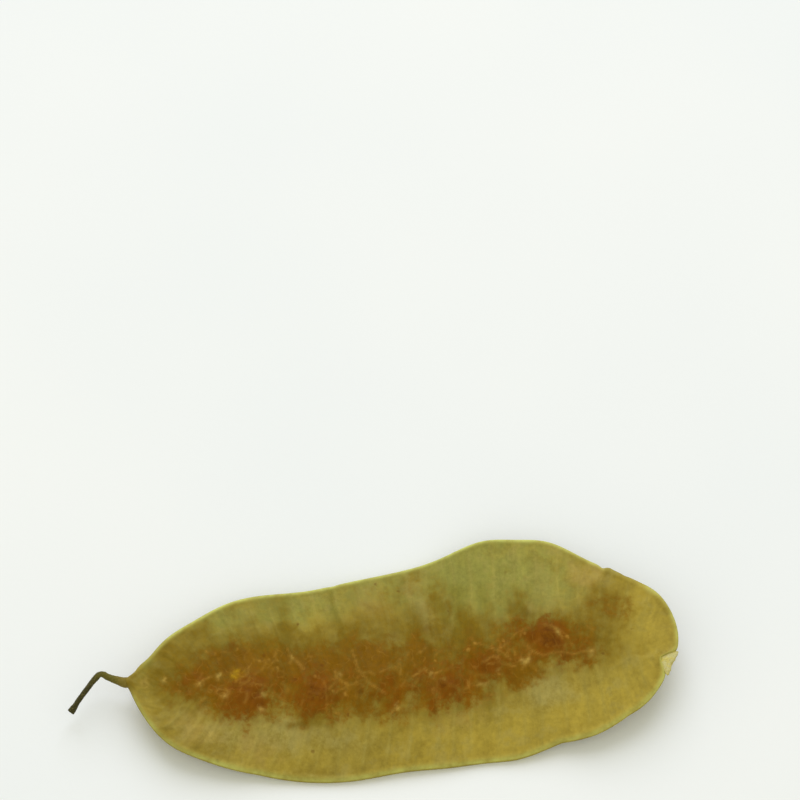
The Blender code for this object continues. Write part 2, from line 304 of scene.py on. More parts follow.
GOLDEN = (
    (-2.0, -9.0, 9.0, 2.0, 0.5),
    (8.0, -7.0, 7.0, 2.6, 0.8),
    (17.4, -5.4, 5.4, 2.8, 0.95),
    (22.0, 2.0, 3.6, 7.0, 0.85),
    (-8.6, 3.8, 2.4, 1.8, 0.5),
    (-12.8, -8.6, 4.0, 1.5, 0.75),
    (-2.6, -5.4, 2.2, 1.4, 0.5),
)
GREYED = (
    (-16.0, -5.8, 3.2, 1.8, 0.6),
    (-11.0, -6.0, 3.0, 1.6, 0.85),
    (-6.0, -7.0, 4.0, 1.4, 0.4),
    (13.0, -2.8, 3.0, 1.7, 0.9),
    (11.6, 7.5, 4.0, 3.0, 0.4),
    (-8.8, 6.8, 2.0, 1.0, 0.4),
    (0.7, 7.2, 0.8, 1.4, 0.85),
    (1.5, 5.4, 0.8, 1.4, 0.9),
    (2.5, 3.8, 0.7, 1.2, 0.85),
    (3.4, 2.3, 0.6, 0.9, 0.7),
    (17.4, -6.8, 2.8, 0.7, 0.4),
    (-8.6, -9.9, 4.0, 0.6, 0.45),
)
PEACHED = (
    (-2.6, 5.6, 2.2, 1.8, 0.65),
    (17.0, 7.8, 1.8, 1.5, 0.8),
    (-19.5, -5.4, 2.6, 2.0, 0.8),
    (12.8, 4.6, 2.2, 1.2, 0.5),
    (-13.8, -7.6, 3.0, 1.6, 0.6),
    (5.0, -5.6, 3.0, 1.6, 0.5),
)

# Pale specks and dark spots of the upper face: place, reach in millimetres and strength
SPECKS = (
    (-23.6, -1.5, 0.28, 0.55, 0.45),
    (-22.0, -1.2, 0.18, 0.42, 0.45),
    (-18.7, -1.7, 0.3, 0.2, 0.5),
    (-17.0, -0.9, 0.3, 0.32, 0.75),
    (-16.4, -2.7, 0.2, 0.3, 0.45),
    (-15.4, -0.8, 0.42, 0.45, 0.9),
    (-14.6, -0.6, 0.28, 0.26, 0.4),
    (-13.1, -4.2, 0.3, 0.28, 0.6),
    (-12.9, -2.9, 0.18, 0.28, 0.5),
    (-10.3, 0.7, 0.2, 0.36, 0.4),
    (-5.9, -0.9, 0.25, 0.22, 0.45),
    (-0.7, -4.0, 0.2, 0.22, 0.5),
    (2.4, -1.3, 0.2, 0.2, 0.45),
    (3.6, -1.7, 0.24, 0.18, 0.4),
    (7.2, -2.1, 0.5, 0.2, 0.65),
    (8.6, -0.9, 0.2, 0.16, 0.35),
    (11.2, -0.1, 0.5, 0.24, 0.65),
    (14.2, 2.4, 0.22, 0.3, 0.75),
    (17.2, 0.3, 0.34, 0.3, 0.5),
    (-17.9, -6.4, 0.5, 0.6, 0.3),
    (-11.4, -8.6, 0.4, 0.3, 0.3),
)
SPOTS = (
    (-15.6, 2.1, 0.5, 0.45, 0.55),
    (-14.6, 1.3, 0.4, 0.35, 0.3),
    (-4.2, -2.6, 0.3, 0.28, 0.6),
    (-8.8, -4.7, 0.9, 0.6, 0.35),
    (-13.6, -4.9, 0.7, 0.5, 0.35),
    (2.2, 3.3, 0.5, 0.6, 0.35),
    (8.0, 3.6, 0.6, 0.7, 0.3),
    (11.4, 4.3, 0.5, 0.6, 0.35),
    (9.6, 8.4, 0.16, 0.16, 0.5),
    (-0.8, 2.6, 0.5, 0.5, 0.3),
    (6.1, 2.6, 0.5, 1.3, 0.35),
)
MARK_RAG = 0.5
MARK_RAG_SIZE = 0.35

# Each mask's list, and the numbers that start its ragged borders on the upper and the lower face
PATCHES = {
    "stain_and_shadow": (STAINS_AND_SHADOWS, 1, 11),
    "browned": (BROWNED, 3, 13),
    "rusted": (RUSTED, 3, 13),
    "greened": (GREENED, 5, 15),
    "golden": (GOLDEN, 7, 17),
    "greyed": (GREYED, 9, 19),
    "peached": (PEACHED, 21, 27),
}
MARKS = {"speck": (SPECKS, 23, 29), "spot": (SPOTS, 25, 33)}

# Patches round each seed of the lower face: reach along and across, and strength
ROUND_SEEDS = {
    "rusted": (1.7, 1.9, 0.8),
    "browned": (2.5, 2.7, 0.85),
    "stain_and_shadow": (3.4, 3.8, 0.75),
}

# Stretches of the edge where the pale rim is missing; the rim is partly the edge's own paler colour and
# partly a painted glow of light shining through the thin edge
RIM_BARE = (
    (20.5, 8.0, 3.2, 3.0, 0.9),
    (24.0, 4.0, 2.0, 2.4, 0.5),
    (-24.0, 1.0, 3.0, 3.0, 0.6),
    (-21.0, -6.0, 3.0, 2.5, 0.4),
)
RIM_BREADTH = 0.34
RIM_LOWER_SHARE = 0.75
RIM_SIDE_SHARE = 0.55
RIM_BASE_BARE = 1.5 * MM

# The base is drawn out to meet the stalk
NECK_REACH = 0.36 * MM
NECK_BREADTH = 0.6 * MM
NECK_FADE = 1.3 * MM
NECK_HALF = 0.3 * MM
NECK_PLACE = -0.5 * MM
NECK_FROM = -0.75
PINCH_DEPTH = (-0.15 * MM, 0.75 * MM)
PINCH_FROM = 0.7 * MM
PINCH_TO = 2.6 * MM
PINCH_FADE = 1.6 * MM

# Small nicks in the outline: place along in millimetres, edge, depth and breadth in millimetres
NICKS = (
    (-19.4, -1.0, 0.34, 2.6),
    (18.6, 1.0, 0.2, 0.3),
    (19.3, 1.0, -0.09, 0.3),
    (20.6, 1.0, 0.08, 0.4),
    (14.2, -1.0, 0.1, 0.7),
    (-6.4, 1.0, 0.06, 0.4),
    (20.4, -1.0, 0.06, 0.6),
    (-13.6, -1.0, 0.05, 0.8),
)
NICK_FADE = 0.9 * MM

# Folds in the skin: points in the blade's plan in millimetres, how broad and how high
FOLDS = (
    (((1.3, 7.8), (2.1, 5.6), (3.1, 3.4), (4.4, 1.2)), 0.5, 0.1),
    (((0.4, 9.4), (0.9, 8.4), (1.3, 7.6)), 0.5, 0.06),
    (((3.6, 6.6), (4.2, 5.0), (4.8, 3.4)), 0.22, 0.07),
    (((4.9, 6.8), (5.3, 4.8), (5.5, 3.0)), 0.75, -0.1),
    (((2.7, 7.4), (3.3, 5.6), (3.9, 4.0)), 0.45, -0.07),
    (((-10.9, 6.4), (-11.0, 4.4), (-10.7, 2.4)), 0.45, -0.07),
    (((-6.6, 7.8), (-6.5, 6.4), (-6.3, 5.2)), 0.16, -0.07),
    (((-6.3, 5.2), (-5.6, 3.4), (-5.0, 1.2)), 0.45, -0.06),
    (((1.1, 5.4), (1.3, 3.6), (1.6, 2.2)), 0.5, -0.07),
    (((10.4, 7.0), (10.7, 5.6), (11.2, 4.2)), 0.32, -0.07),
    (((7.3, 7.0), (7.6, 5.2), (7.9, 3.6)), 0.45, -0.06),
    (((18.8, -1.4), (21.0, -0.2), (23.3, -0.5)), 0.16, 0.04),
    (((-12.6, -4.6), (-11.4, -5.4), (-9.4, -5.0)), 0.3, 0.07),
    (((-14.6, 5.4), (-14.2, 3.8), (-13.4, 2.2)), 0.6, 0.05),
    (((-3.2, 7.4), (-2.9, 5.6), (-2.2, 3.6)), 0.7, 0.06),
    (((12.6, 8.8), (13.0, 6.8), (13.4, 5.2)), 0.7, 0.06),
)
FOLD_FULL = 0.1

# Camera and light
CAMERA_AIM = (3.16 * MM, 26.22 * MM, 0.0)
CAMERA_DISTANCE = 343.0 * MM
CAMERA_HEIGHT_ANGLE = math.radians(68.4)
CAMERA_TURN = -0.0264
CAMERA_LENS = 162.5
CAMERA_SENSOR = 36.0
CAMERA_CLIP = (0.01, 10.0)
ROUND_LIGHT = (0.735, 0.74, 0.645)
LAMP_POWER = 6.25
LAMP_COLOUR = (0.79, 0.83, 1.0)
LAMP_BREADTH = 0.9
LAMP_DISTANCE = 1.0
LAMP_RISE = math.radians(44.0)
FLOOR_HALF = 1.0
FLOOR_GAP = 0.00002

# The finer stalk
STALK_SKIN_STEPS = 16
STALK_SKIN_SIDES_LEVEL = 6
STALK_WRINKLE = 0.35 * MM
STALK_WRINKLE_DEPTH = 0.06 * MM
STALK_WRINKLE_DRAWN = 0.35
STALK_GRAIN = 0.12 * MM
STALK_GRAIN_DEPTH = 0.02 * MM
STALK_SHADE_POWER = 1.5

# Points of the stalk's line from its start, and its radius there, in millimetres
STALK_SKIN_POINTS = (
    (0.9, -0.52, 0.0, 0.2),
    (0.1, -0.52, 0.0, 0.5),
    (-0.65, -0.32, 0.02, 0.39),
    (-1.55, 0.0, 0.05, 0.3),
    (-2.2, 0.28, 0.1, 0.28),
    (-2.75, -0.15, 0.05, 0.29),
    (-3.4, -0.95, -0.1, 0.26),
    (-4.05, -1.7, -0.35, 0.25),
    (-4.6, -2.45, -0.65, 0.27),
    (-5.0, -2.95, -0.9, 0.34),
)

# The style's torn flake, with its corners in millimetres and its shares of breadth and thickness
STYLE_SIDES = 24
STYLE_RINGS = 14
STYLE_SEED = 5
STYLE_FURROW = 0.12
STYLE_FURROWS = 7.0
STYLE_TWIST = 3.0
STYLE_TEAR = 0.16 * MM
STYLE_TORN = (-1.0, 0.5)
STYLE_TEAR_POWER = 6
STYLE_BACK = (-0.7, 0.15)
STYLE_CORNERS = ((1.25, 0.32), (0.15, -2.0))
STYLE_BROAD = ((0.0, 0.15), (0.35, 0.42), (0.6, 0.7), (0.85, 0.93), (1.0, 1.0))
STYLE_THICK = ((0.0, 0.05), (0.35, 0.16), (0.6, 0.24), (0.85, 0.2), (0.96, 0.12), (1.0, 0.03))
STYLE_RISE = 0.1 * MM

# From screen values to colours: the gloss's haze, the light that a matt white gives back, the darkest
GLOSS_HAZE = 0.0065
LIGHT_REACH = 0.96
DARKEST = 0.001
SCREEN_WHITE = 255.0

# The part of the noise's range that a mottling spreads from 0 to 1
MOTTLE_SPAN = (0.28, 0.72)

# Sockets of the Mix node: its factor, its two colours and its colour result
MIX_FACTOR = 0
MIX_COLOURS = (6, 7)
MIX_RESULT = 2


class Wire:
    """A shader socket that sums and products can be written with. Only for values, not for colours."""

    def __init__(self, finish, socket):
        self.finish = finish
        self.socket = socket

    def math(self, operation, first, second=0.0):
        return self.finish.node("Math", {"operation": operation}, {0: first, 1: second})

    def __add__(self, other):
        return self.math("ADD", self, other)

    def __radd__(self, other):
        return self.math("ADD", other, self)

    def __sub__(self, other):
        return self.math("SUBTRACT", self, other)

    def __rsub__(self, other):
        return self.math("SUBTRACT", other, self)

    def __mul__(self, other):
        return self.math("MULTIPLY", self, other)

    def __rmul__(self, other):
        return self.math("MULTIPLY", other, self)

    def between(self, low, high):
        """Rises smoothly from 0 to 1 as the value goes from low to high."""
        sockets = {"Value": self, "From Min": low, "From Max": high}
        return self.finish.node("MapRange", {"interpolation_type": "SMOOTHSTEP"}, sockets)

    def wander(self, reach):
        """Half the reach to either side of 0."""
        return (self - 0.5) * reach

    def at_least(self, least, reach):
        """The least share, and this much more where the value is full."""
        return least + self * reach


class Finish:
    """The node tree of one material, and the one method that adds a node to it."""

    def __init__(self, name):
        self.material = bpy.data.materials.new(name)
        self.material.use_nodes = True
        self.tree = self.material.node_tree
        self.tree.nodes.clear()

    def node(self, kind, settings, sockets, output=0):
        node = self.tree.nodes.new("ShaderNode" + kind)
        for key, value in settings.items():
            setattr(node, key, value)
        for key, value in sockets.items():
            if isinstance(value, Wire):
                self.tree.links.new(value.socket, node.inputs[key])
            else:
                node.inputs[key].default_value = value
        return Wire(self, node.outputs[output]) if node.outputs else None

    def mask(self, name):
        """A value that the mesh carries at each point."""
        return self.node("Attribute", {"attribute_name": name}, {}, "Fac")

    def mix(self, kind, amount, first, second):
        """Two colours through a Mix node."""
        settings = {"data_type": "RGBA", "blend_type": kind}
        sockets = {MIX_FACTOR: amount, MIX_COLOURS[0]: first, MIX_COLOURS[1]: second}
        return self.node("Mix", settings, sockets, MIX_RESULT)

    def blend(self, amount, first, second):
        """From the first colour to the second."""
        return self.mix("MIX", amount, first, second)

    def shaded(self, amount, colour, dark, light):
        """The colour times a grey that goes from dark to light."""
        grey = self.blend(amount, (dark, dark, dark, 1.0), (light, light, light, 1.0))
        return self.mix("MULTIPLY", 1.0, colour, grey)

    def vector(self, operation, first, second, output=0):
        return self.node("VectorMath", {"operation": operation}, {0: first, 1: second}, output)

    def place(self, shift=(0.0, 0.0, 0.0)):
        """The point's own place in millimetres."""
        at = self.vector("ADD", self.node("TexCoord", {}, {}, "Object"), shift)
        return self.vector("MULTIPLY", at, (1.0 / MM, 1.0 / MM, 1.0 / MM))

    def grain(self, along, across, layer):
        """A place that follows the veins, stretched by these amounts along and across the pod."""
        parts = {"X": self.mask("grain_along") * along, "Y": self.mask("grain_across") * across}
        return self.node("CombineXYZ", {}, {**parts, "Z": layer})

    def mottle(self, at, scale, detail, roughness):
        """Irregular mottling from 0 to 1."""
        sockets = {"Vector": at, "Scale": scale, "Detail": detail, "Roughness": roughness}
        return self.node("TexNoise", {}, sockets).between(*MOTTLE_SPAN)

    def dots(self, at, scale, edge):
        """1 at the middle of scattered dots and 0 past their edge."""
        apart = self.node("TexVoronoi", {}, {"Vector": at, "Scale": scale}, "Distance")
        return 1.0 - apart.between(*edge)

    def surface(self, sockets, height, depth):
        """Closes the tree: the Principled shader with a bump of this depth in metres."""
        bump = self.node("Bump", {}, {"Height": height, "Distance": depth, "Strength": 1.0})
        shader = self.node("BsdfPrincipled", {}, {**sockets, "Normal": bump})
        self.node("OutputMaterial", {}, {"Surface": shader})
        return self.material


def tone(red, green, blue):
    """The colour that shows as these screen values, from 0 to 255, under the scene's light."""
    parts = []
    for value in (red, green, blue):
        light = light_of_screen(value / SCREEN_WHITE)
        parts.append(max((light - GLOSS_HAZE) / LIGHT_REACH, DARKEST))
    return (*parts, 1.0)


def light_of_screen(share):
    """The light that a screen value stands for, by the usual curve with its straight dark end."""
    return share / 12.92 if share <= 0.04045 else ((share + 0.055) / 1.055) ** 2.4


# Tones of the valve, the stalk, the style and the ground
KHAKI = tone(155, 135, 60)
OLIVE = tone(142, 121, 47)
SAGE = tone(143, 138, 66)
OCHRE = tone(169, 147, 61)
ASH_GREEN = tone(162, 147, 81)
PALE_VEIN = tone(164, 149, 76)
PEACH = tone(166, 142, 74)
# Painted shade in the sunk folds
OLIVE_SHADE = tone(122, 112, 38)
OLIVE_BROWN = tone(117, 94, 28)
TAN = tone(119, 83, 14)
RUST = tone(121, 73, 0)
BURNT = tone(94, 56, 0)
CREAM = tone(180, 138, 60)
PALE_CREAM = tone(194, 164, 84)
STRAW = tone(180, 141, 33)
# The rim's own paler colour, brightened as a painted glow of light through the thin edge
PALE_RIM_AND_GLOW = tone(204, 206, 112)
STALK_DARK = tone(58, 54, 20)
STALK_OLIVE = tone(96, 88, 26)
STALK_ROOT = tone(130, 110, 38)
STALK_PALE = tone(134, 122, 72)
STYLE_PALE = tone(204, 194, 128)
STYLE_YELLOW = tone(206, 190, 96)
STYLE_BROWN = tone(160, 128, 66)
GROUND_COOL = (0.85, 0.86, 0.85, 1.0)
GROUND_WARM = (0.88, 0.88, 0.86, 1.0)


class Wash(namedtuple("Wash", "mask wanders begins full cover tint own_full", defaults=(None,))):
    """A colour laid over the valve where a mask says, with its border moved by the mottlings.

    It begins and is full at two values of the moved mask, and covers so much there. Where own_full
    is given, it also fades out as the mask's own value falls from own_full to 0.
    """


# Washes over the flat parts, then those over the seeds
GREEN_WASH = Wash("greened", {"blotch": 0.3}, 0.1, 0.9, 1.0, SAGE)
GOLD_WASH = Wash("golden", {"blotch": 0.3}, 0.15, 0.9, 1.0, OCHRE)
GREY_WASH = Wash("greyed", {"blotch": 0.4, "fine": 0.2}, 0.15, 0.95, 0.85, ASH_GREEN)
PEACH_WASH = Wash("peached", {"blotch": 0.35}, 0.15, 0.95, 0.8, PEACH)
# Olive-brown stains, with the painted shadow of a neighbouring pod by the upper-left edge
STAIN_AND_SHADOW_WASH = Wash("stain_and_shadow", {"streak": 0.35, "blotch": 0.3, "fine": 0.15}, 0.0, 0.95, 0.95, OLIVE_BROWN)
TAN_WASH = Wash("browned", {"blotch": 0.35, "streak": 0.3, "fine": 0.3}, 0.0, 0.9, 0.95, TAN, 0.25)
RUST_WASH = Wash("rusted", {"blotch": 0.5, "fine": 0.3}, 0.0, 0.9, 0.95, RUST, 0.25)
BURNT_WASH = Wash("rusted", {"bruise": 0.6, "fine": 0.6}, 0.75, 1.4, 0.8, BURNT)

# Mottlings of the valve: size per millimetre, detail and roughness, and how two follow the veins
CLOUD = (0.28, 3.0, 0.6)
BRUISE = (0.5, 4.0, 0.6)
BRUISE_SHIFT = (0.07, 0.03, 0.0)
BLOTCH = (0.9, 4.0, 0.6)
FINE = (2.8, 4.0, 0.65)
FIBRE_GRAIN = (2.6, 0.5, 0.0)
FIBRE = (1.0, 4.0, 0.65)
STREAK_GRAIN = (0.6, 0.2, 3.0)
STREAK = (1.0, 3.0, 0.55)

# Bruises, pale places between them, the veins' paler tint, and painted highlight on raised folds and
# painted shade in sunk folds
BRUISED = (0.55, 1.0)
BRUISE_COVER = 0.4
UNBRUISED = (0.6, 1.0)
UNBRUISED_COVER = 0.35
VEIN_TINT_AND_FOLD_SHADING = (("vein", 0.3, PALE_VEIN), ("raised", 0.38, ASH_GREEN), ("fold_shade", 0.6, OLIVE_SHADE))

# Threads, strands, specks, flecks and pocks: their sizes, the spans they lie in and their cover
WISP_SIZE = 0.7
CURL_SIZE = 0.75
CURL_DETAIL = 1.0
THREAD_HALF = 0.035
THREADED = (0.3, 0.8)
THREAD_COVER = 0.15
STRAND_GRAIN = (0.4, 0.6)
STRAND_COVER = 0.42
MARK_GRAIN = (0.5, 0.5)
YELLOWEST_SPECK = (-12.6, -1.45, 3.0)
YELLOW_SPAN = (0.6, 1.6)
FLECK_SIZE = 0.9
FLECK_EDGE = (0.05, 0.26)
FLECKED = (0.45, 0.7)
FLECK_GRAIN = (0.3, 0.7)
FLECK_COVER = 0.45
POCK_SIZE = 0.5
POCK_EDGE = (0.05, 0.13)
POCKED = (0.55, 0.8)
POCK_COVER = 0.45

# How far each mottling darkens and lightens the valve, and how the edge is coloured
SHADES = (("fibre", 0.95, 1.04), ("streak", 0.88, 1.1), ("fine", 0.9, 1.08))
RIM_COVER = (0.45, 0.65)
SUTURE_COVER = (0.2, 0.6)

# The valve's sheen and grain
VALVE_ROUGHNESS = 0.62
TAN_SMOOTHNESS = 0.08
ROUGHNESS_WANDER = 0.12
VALVE_SHEEN = 0.055
VALVE_GRAIN = {"fibre": 0.4, "fine": 0.35, "blotch": 0.25}
VALVE_BUMP = 0.02 * MM

# The stalk's ridges and grit, where along it the colours change, and its sheen
STALK_RIDGE = (2.4, 4.0, 0.65)
STALK_GRIT = (9.0, 3.0, 0.6)
STALK_WANDER = 0.1
OLIVE_SPAN = (0.18, 0.42)
ROOT_SPAN = (0.5, 0.85)
GRITTY = (0.6, 1.0)
STALK_GRIT_COVER = 0.5
STALK_ROUGHNESS = (0.6, 0.25)
STALK_SHEEN = 0.3
STALK_BUMP = 0.05 * MM

# The style's patches and grit, and its sheen
STYLE_PATCH = (1.8, 3.0, 0.6)
STYLE_GRIT = (8.0, 3.0, 0.6)
STYLE_YELLOWED = (0.3, 1.0)
STYLE_GRIT_COVER = 0.4
STYLE_ROUGHNESS = (0.5, 0.3)
STYLE_SHEEN = 0.35
STYLE_BUMP = 0.04 * MM

# The ground's faint clouds and grain, and its sheen
GROUND_CLOUD = (0.02, 2.0, 0.5)
GROUND_GRAIN = (2.0, 2.0, 0.5)
GROUND_ROUGHNESS = 0.85
GROUND_SHEEN = 0.15
GROUND_BUMP = 0.002 * MM


def smooth_through(places, values, at):
    """A natural cubic spline through the places, read at other ones."""
    places = np.array(places)
    values = np.array(values)
    steps = np.diff(places)
    slopes = np.diff(values) / steps
    count = len(places)
    balance = np.eye(count)
    pull = np.zeros(count)
    for i in range(1, count - 1):
        balance[i, i - 1] = steps[i - 1]
        balance[i, i] = 2.0 * (steps[i - 1] + steps[i])
        balance[i, i + 1] = steps[i]
        pull[i] = 6.0 * (slopes[i] - slopes[i - 1])
    bend = np.linalg.solve(balance, pull)
    i = np.clip(np.searchsorted(places, at) - 1, 0, count - 2)
    t = at - places[i]
    left = slopes[i] - steps[i] * (2.0 * bend[i] + bend[i + 1]) / 6.0
    return values[i] + t * (left + t * (bend[i] / 2.0 + t * (bend[i + 1] - bend[i]) / (6.0 * steps[i])))


def plan(along):
    """The middle line's offset, and the half width of an ellipse that is as full there as the pod."""
    places = [-1.0]
    offsets = [BASE_OFFSET]
    widths = [BASE_BLUNTNESS]
    for place, low, high in EDGE_STATIONS:
        places.append(place)
        offsets.append((low + high) / 2.0)
        widths.append((high - low) / 2.0 / math.sqrt(1.0 - place * place))
    places.append(1.0)
    offsets.append(TIP_OFFSET)
    widths.append(TIP_BLUNTNESS)
    return smooth_through(places, offsets, along) * MM, smooth_through(places, widths, along) * MM


def solid_lines(cells, half_size):
    """Places of the solid's grid lines from -1 to 1."""
    first = RING_GAPS[0] / half_size
    second = first + RING_GAPS[1] / half_size
    inner = np.linspace(-1.0 + second, 1.0 - second, cells - 3)
    return np.concatenate(([-1.0, -1.0 + first], inner, [1.0 - first, 1.0]))


def skin_lines(cells, half_size):
    """Places of the skin's grid lines from -1 to 1, close together along the seam."""
    band = SEAM_BAND / half_size
    close = np.linspace(0.0, band, SEAM_CELLS + 1)[:-1]
    inner = np.linspace(band - 1.0, 1.0 - band, cells - 2 * SEAM_CELLS + 1)
    return np.concatenate((close - 1.0, inner, (1.0 - close)[::-1]))


def distance_from_edge(along, across, width):
    """How far a point lies from the edge, read from the slope of the ellipse through it."""
    slope = np.sqrt((along / HALF_LENGTH) ** 2 + (across / width) ** 2) + LEAST_SLOPE
    return np.maximum(1.0 - along**2 - across**2, 0.0) / (2.0 * slope)


def warp(along, across):
    """Height of the blade's middle sheet: arched across, with its ends and one lobe lifted."""
    height = CROWN * (1.0 - across**2) * (1.0 - CROWN_FALL * along**2)
    height += TIP_LIFT * np.maximum(along, 0.0) ** LIFT_POWER
    height += BASE_LIFT * np.maximum(-along, 0.0) ** LIFT_POWER
    lobe = np.exp(-(((along - LOBE_PLACE) / LOBE_SPAN) ** 2))
    height += LOBE_LIFT * lobe * np.maximum(across, 0.0) ** LOBE_POWER
    wave = EDGE_WAVE * np.cos(2.0 * math.pi * along / EDGE_WAVE_LENGTH)
    return height - wave * across * np.abs(across)


def seed_bulges(x, y):
    """Height of the bulges over the seeds, as a share of the highest."""
    rise = np.zeros_like(x)
    for along, across, size in SEEDS:
        dx = (x - along * MM) / (SEED_ALONG * math.sqrt(size))
        dy = (y - across * MM) / (SEED_ACROSS * math.sqrt(size))
        rise = np.maximum(rise, size * np.exp(-((dx**2 + dy**2) ** SEED_SQUARENESS)))
    return rise


def vein_lines():
    """Each vein: the edge it starts from, where along it, how far it wavers and how strong it is."""
    draw = random.Random(VEIN_SEED)
    lines = []
    for edge in (-1.0, 1.0):
        for i in range(VEINS_PER_EDGE):
            start = VEIN_REACH * (2.0 * (i + 0.5) / VEINS_PER_EDGE - 1.0)
            start += draw.uniform(-VEIN_SHIFT, VEIN_SHIFT)
            waver = draw.uniform(-VEIN_WAVER, VEIN_WAVER)
            lines.append((edge, start, waver, draw.uniform(*VEIN_STRENGTH)))
    return lines


def depth_from_edge(along, across):
    """0 at the edge and 1 on the middle line."""
    reach = np.sqrt(np.maximum(1.0 - along**2, LEAST_REACH))
    return np.clip(1.0 - np.abs(across) / reach, 0.0, 1.0)


def vein_ridges(along, across, width):
    """Height of the veins: 1 on a vein and 0 between them, fading towards the middle."""
    depth = depth_from_edge(along, across)
    forked = VEIN_FORK_SPREAD * np.maximum(depth - VEIN_FORK_AT, 0.0)
    fade = 1.0 - VEIN_FADE * depth**2
    ridge = np.zeros_like(along)
    for edge, start, waver, strength in vein_lines():
        line = start * (1.0 - VEIN_FAN * depth) + VEIN_LEAN * depth
        line += waver * np.sin(VEIN_WAVER_TURNS * depth)
        for branch in (-0.5, 0.5):
            apart = (along - line - branch * forked) * HALF_LENGTH / width
            here = strength * fade * np.exp(-(apart**2))
            ridge = np.where(across * edge > 0.0, np.maximum(ridge, here), ridge)
    return ridge


def half_thickness(along, across, x, y, inward, vein_width, seam_rise):
    """Half the blade's thickness, with the seam, the veins and the seed bulges raised from it."""
    half = MARGIN_HALF + (MIDDLE_HALF - MARGIN_HALF) * np.clip(inward / MARGIN_BREADTH, 0.0, 1.0)
    half += seam_rise * np.exp(-(((inward - SEAM_INSET) / SEAM_WIDTH) ** 2))
    started = np.clip((inward - VEIN_START[0]) / (VEIN_START[1] - VEIN_START[0]), 0.0, 1.0)
    half += VEIN_RISE * vein_ridges(along, across, vein_width) * started
    half += SEED_RISE * seed_bulges(x, y)
    return np.minimum(half, EDGE_HALF + EDGE_SLOPE * inward)


def notch(x, y, inward):
    """How far the tip is drawn in at the notch."""
    breadth = np.where(y > NOTCH_PLACE, NOTCH_UP, NOTCH_DOWN)
    dent = np.exp(-(((y - NOTCH_PLACE) / breadth) ** 2)) * np.exp(-inward / NOTCH_FADE)
    return NOTCH_DEPTH * dent * (x > NOTCH_FROM * HALF_LENGTH)


def blade_places(u, v):
    """Places on the blade for places on the square from -1 to 1: along, across, plan and inward."""
    along = u * np.sqrt(1.0 - END_BOW * v**2)
    across = v * np.sqrt(1.0 - (1.0 - END_BOW) * u**2)
    offset, width = plan(along)
    inward = distance_from_edge(along, across, width)
    return along, across, HALF_LENGTH * along, offset + across * width, inward


def laying_plane(node):
    """The slope and height that the blade was laid down by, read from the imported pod's upper face."""
    mesh = node.data
    packed = BVHTree.FromPolygons([v.co for v in mesh.vertices], [f.vertices for f in mesh.polygons])
    lines_u = solid_lines(SOLID_CELLS[0], HALF_LENGTH)[PROBED_ALONG]
    lines_v = solid_lines(SOLID_CELLS[1], HALF_WIDTH)[PROBED_ACROSS]
    u, v = (part.ravel() for part in np.meshgrid(lines_u, lines_v))
    along, across, x, y, inward = blade_places(u, v)
    top = warp(along, across) + half_thickness(along, across, x, y, inward, VEIN_WIDTH, SEAM_RISE)
    x = x - notch(x, y, inward)
    rows = []
    drops = []
    for i in range(len(u)):
        above = Vector((x[i] + BLADE_CENTRE[0], y[i] + BLADE_CENTRE[1], ABOVE))
        hit = packed.ray_cast(above, Vector((0.0, 0.0, -1.0)))[0]
        if hit is not None:
            rows.append((x[i], y[i], 1.0))
            drops.append(top[i] - hit.z)
    return np.linalg.lstsq(np.array(rows), np.array(drops), rcond=None)[0]


def eased(share):
    """From 0 to 1 with a level start and end."""
    return share * share * (3.0 - 2.0 * share)


def mottling(x, y, size, seed, layers=3):
    """Soft patches from 0 to 1, about this size in the units of x and y. Each layer is half the last."""
    total = np.zeros_like(x)
    weight = 0.0
    for layer in range(layers):
        table = np.random.default_rng(TABLE_STRIDE * seed + layer).random((TABLE_SIZE, TABLE_SIZE))
        gx = x * 2.0**layer / size
        gy = y * 2.0**layer / size
        ix = np.floor(gx).astype(int)
        iy = np.floor(gy).astype(int)
        fx = eased(gx - ix)
        fy = eased(gy - iy)
        left = ix % TABLE_SIZE
        right = (ix + 1) % TABLE_SIZE
        low = iy % TABLE_SIZE
        high = (iy + 1) % TABLE_SIZE
        near = table[left, low] * (1.0 - fx) + table[right, low] * fx
        far = table[left, high] * (1.0 - fx) + table[right, high] * fx
        total += (near * (1.0 - fy) + far * fy) * 0.5**layer
        weight += 0.5**layer
    return total / weight


def cell_borders(s, t, seed):
    """1 on the borders between the cells of a scatter of points, and 0 inside the cells."""
    scatter = np.random.default_rng(seed).random((TABLE_SIZE, TABLE_SIZE, 2))
    ix = np.floor(s).astype(int)
    iy = np.floor(t).astype(int)
    nearest = np.full_like(s, FAR)
    second = np.full_like(s, FAR)
    for dx in (-1, 0, 1):
        for dy in (-1, 0, 1):
            point = scatter[(ix + dx) % TABLE_SIZE, (iy + dy) % TABLE_SIZE]
            apart = np.hypot(ix + dx + point[:, 0] - s, iy + dy + point[:, 1] - t)
            second = np.minimum(second, np.maximum(nearest, apart))
            nearest = np.minimum(nearest, apart)
    return np.exp(-(((second - nearest) / NET_LINE) ** 2))


def near_path(x, y, points, breadth):
    """1 on a path through the points and 0 away from it, all in millimetres."""
    near = np.zeros_like(x)
    for (ax, ay), (bx, by) in zip(points, points[1:]):
        reach = PATH_REACH * breadth
        close = (x > min(ax, bx) - reach) & (x < max(ax, bx) + reach)
        close &= (y > min(ay, by) - reach) & (y < max(ay, by) + reach)
        px = x[close] - ax
        py = y[close] - ay
        run = (bx - ax) ** 2 + (by - ay) ** 2
        t = np.clip((px * (bx - ax) + py * (by - ay)) / run, 0.0, 1.0)
        apart = np.hypot(px - t * (bx - ax), py - t * (by - ay)) / breadth
        near[close] = np.maximum(near[close], np.exp(-(apart**2)))
    return near


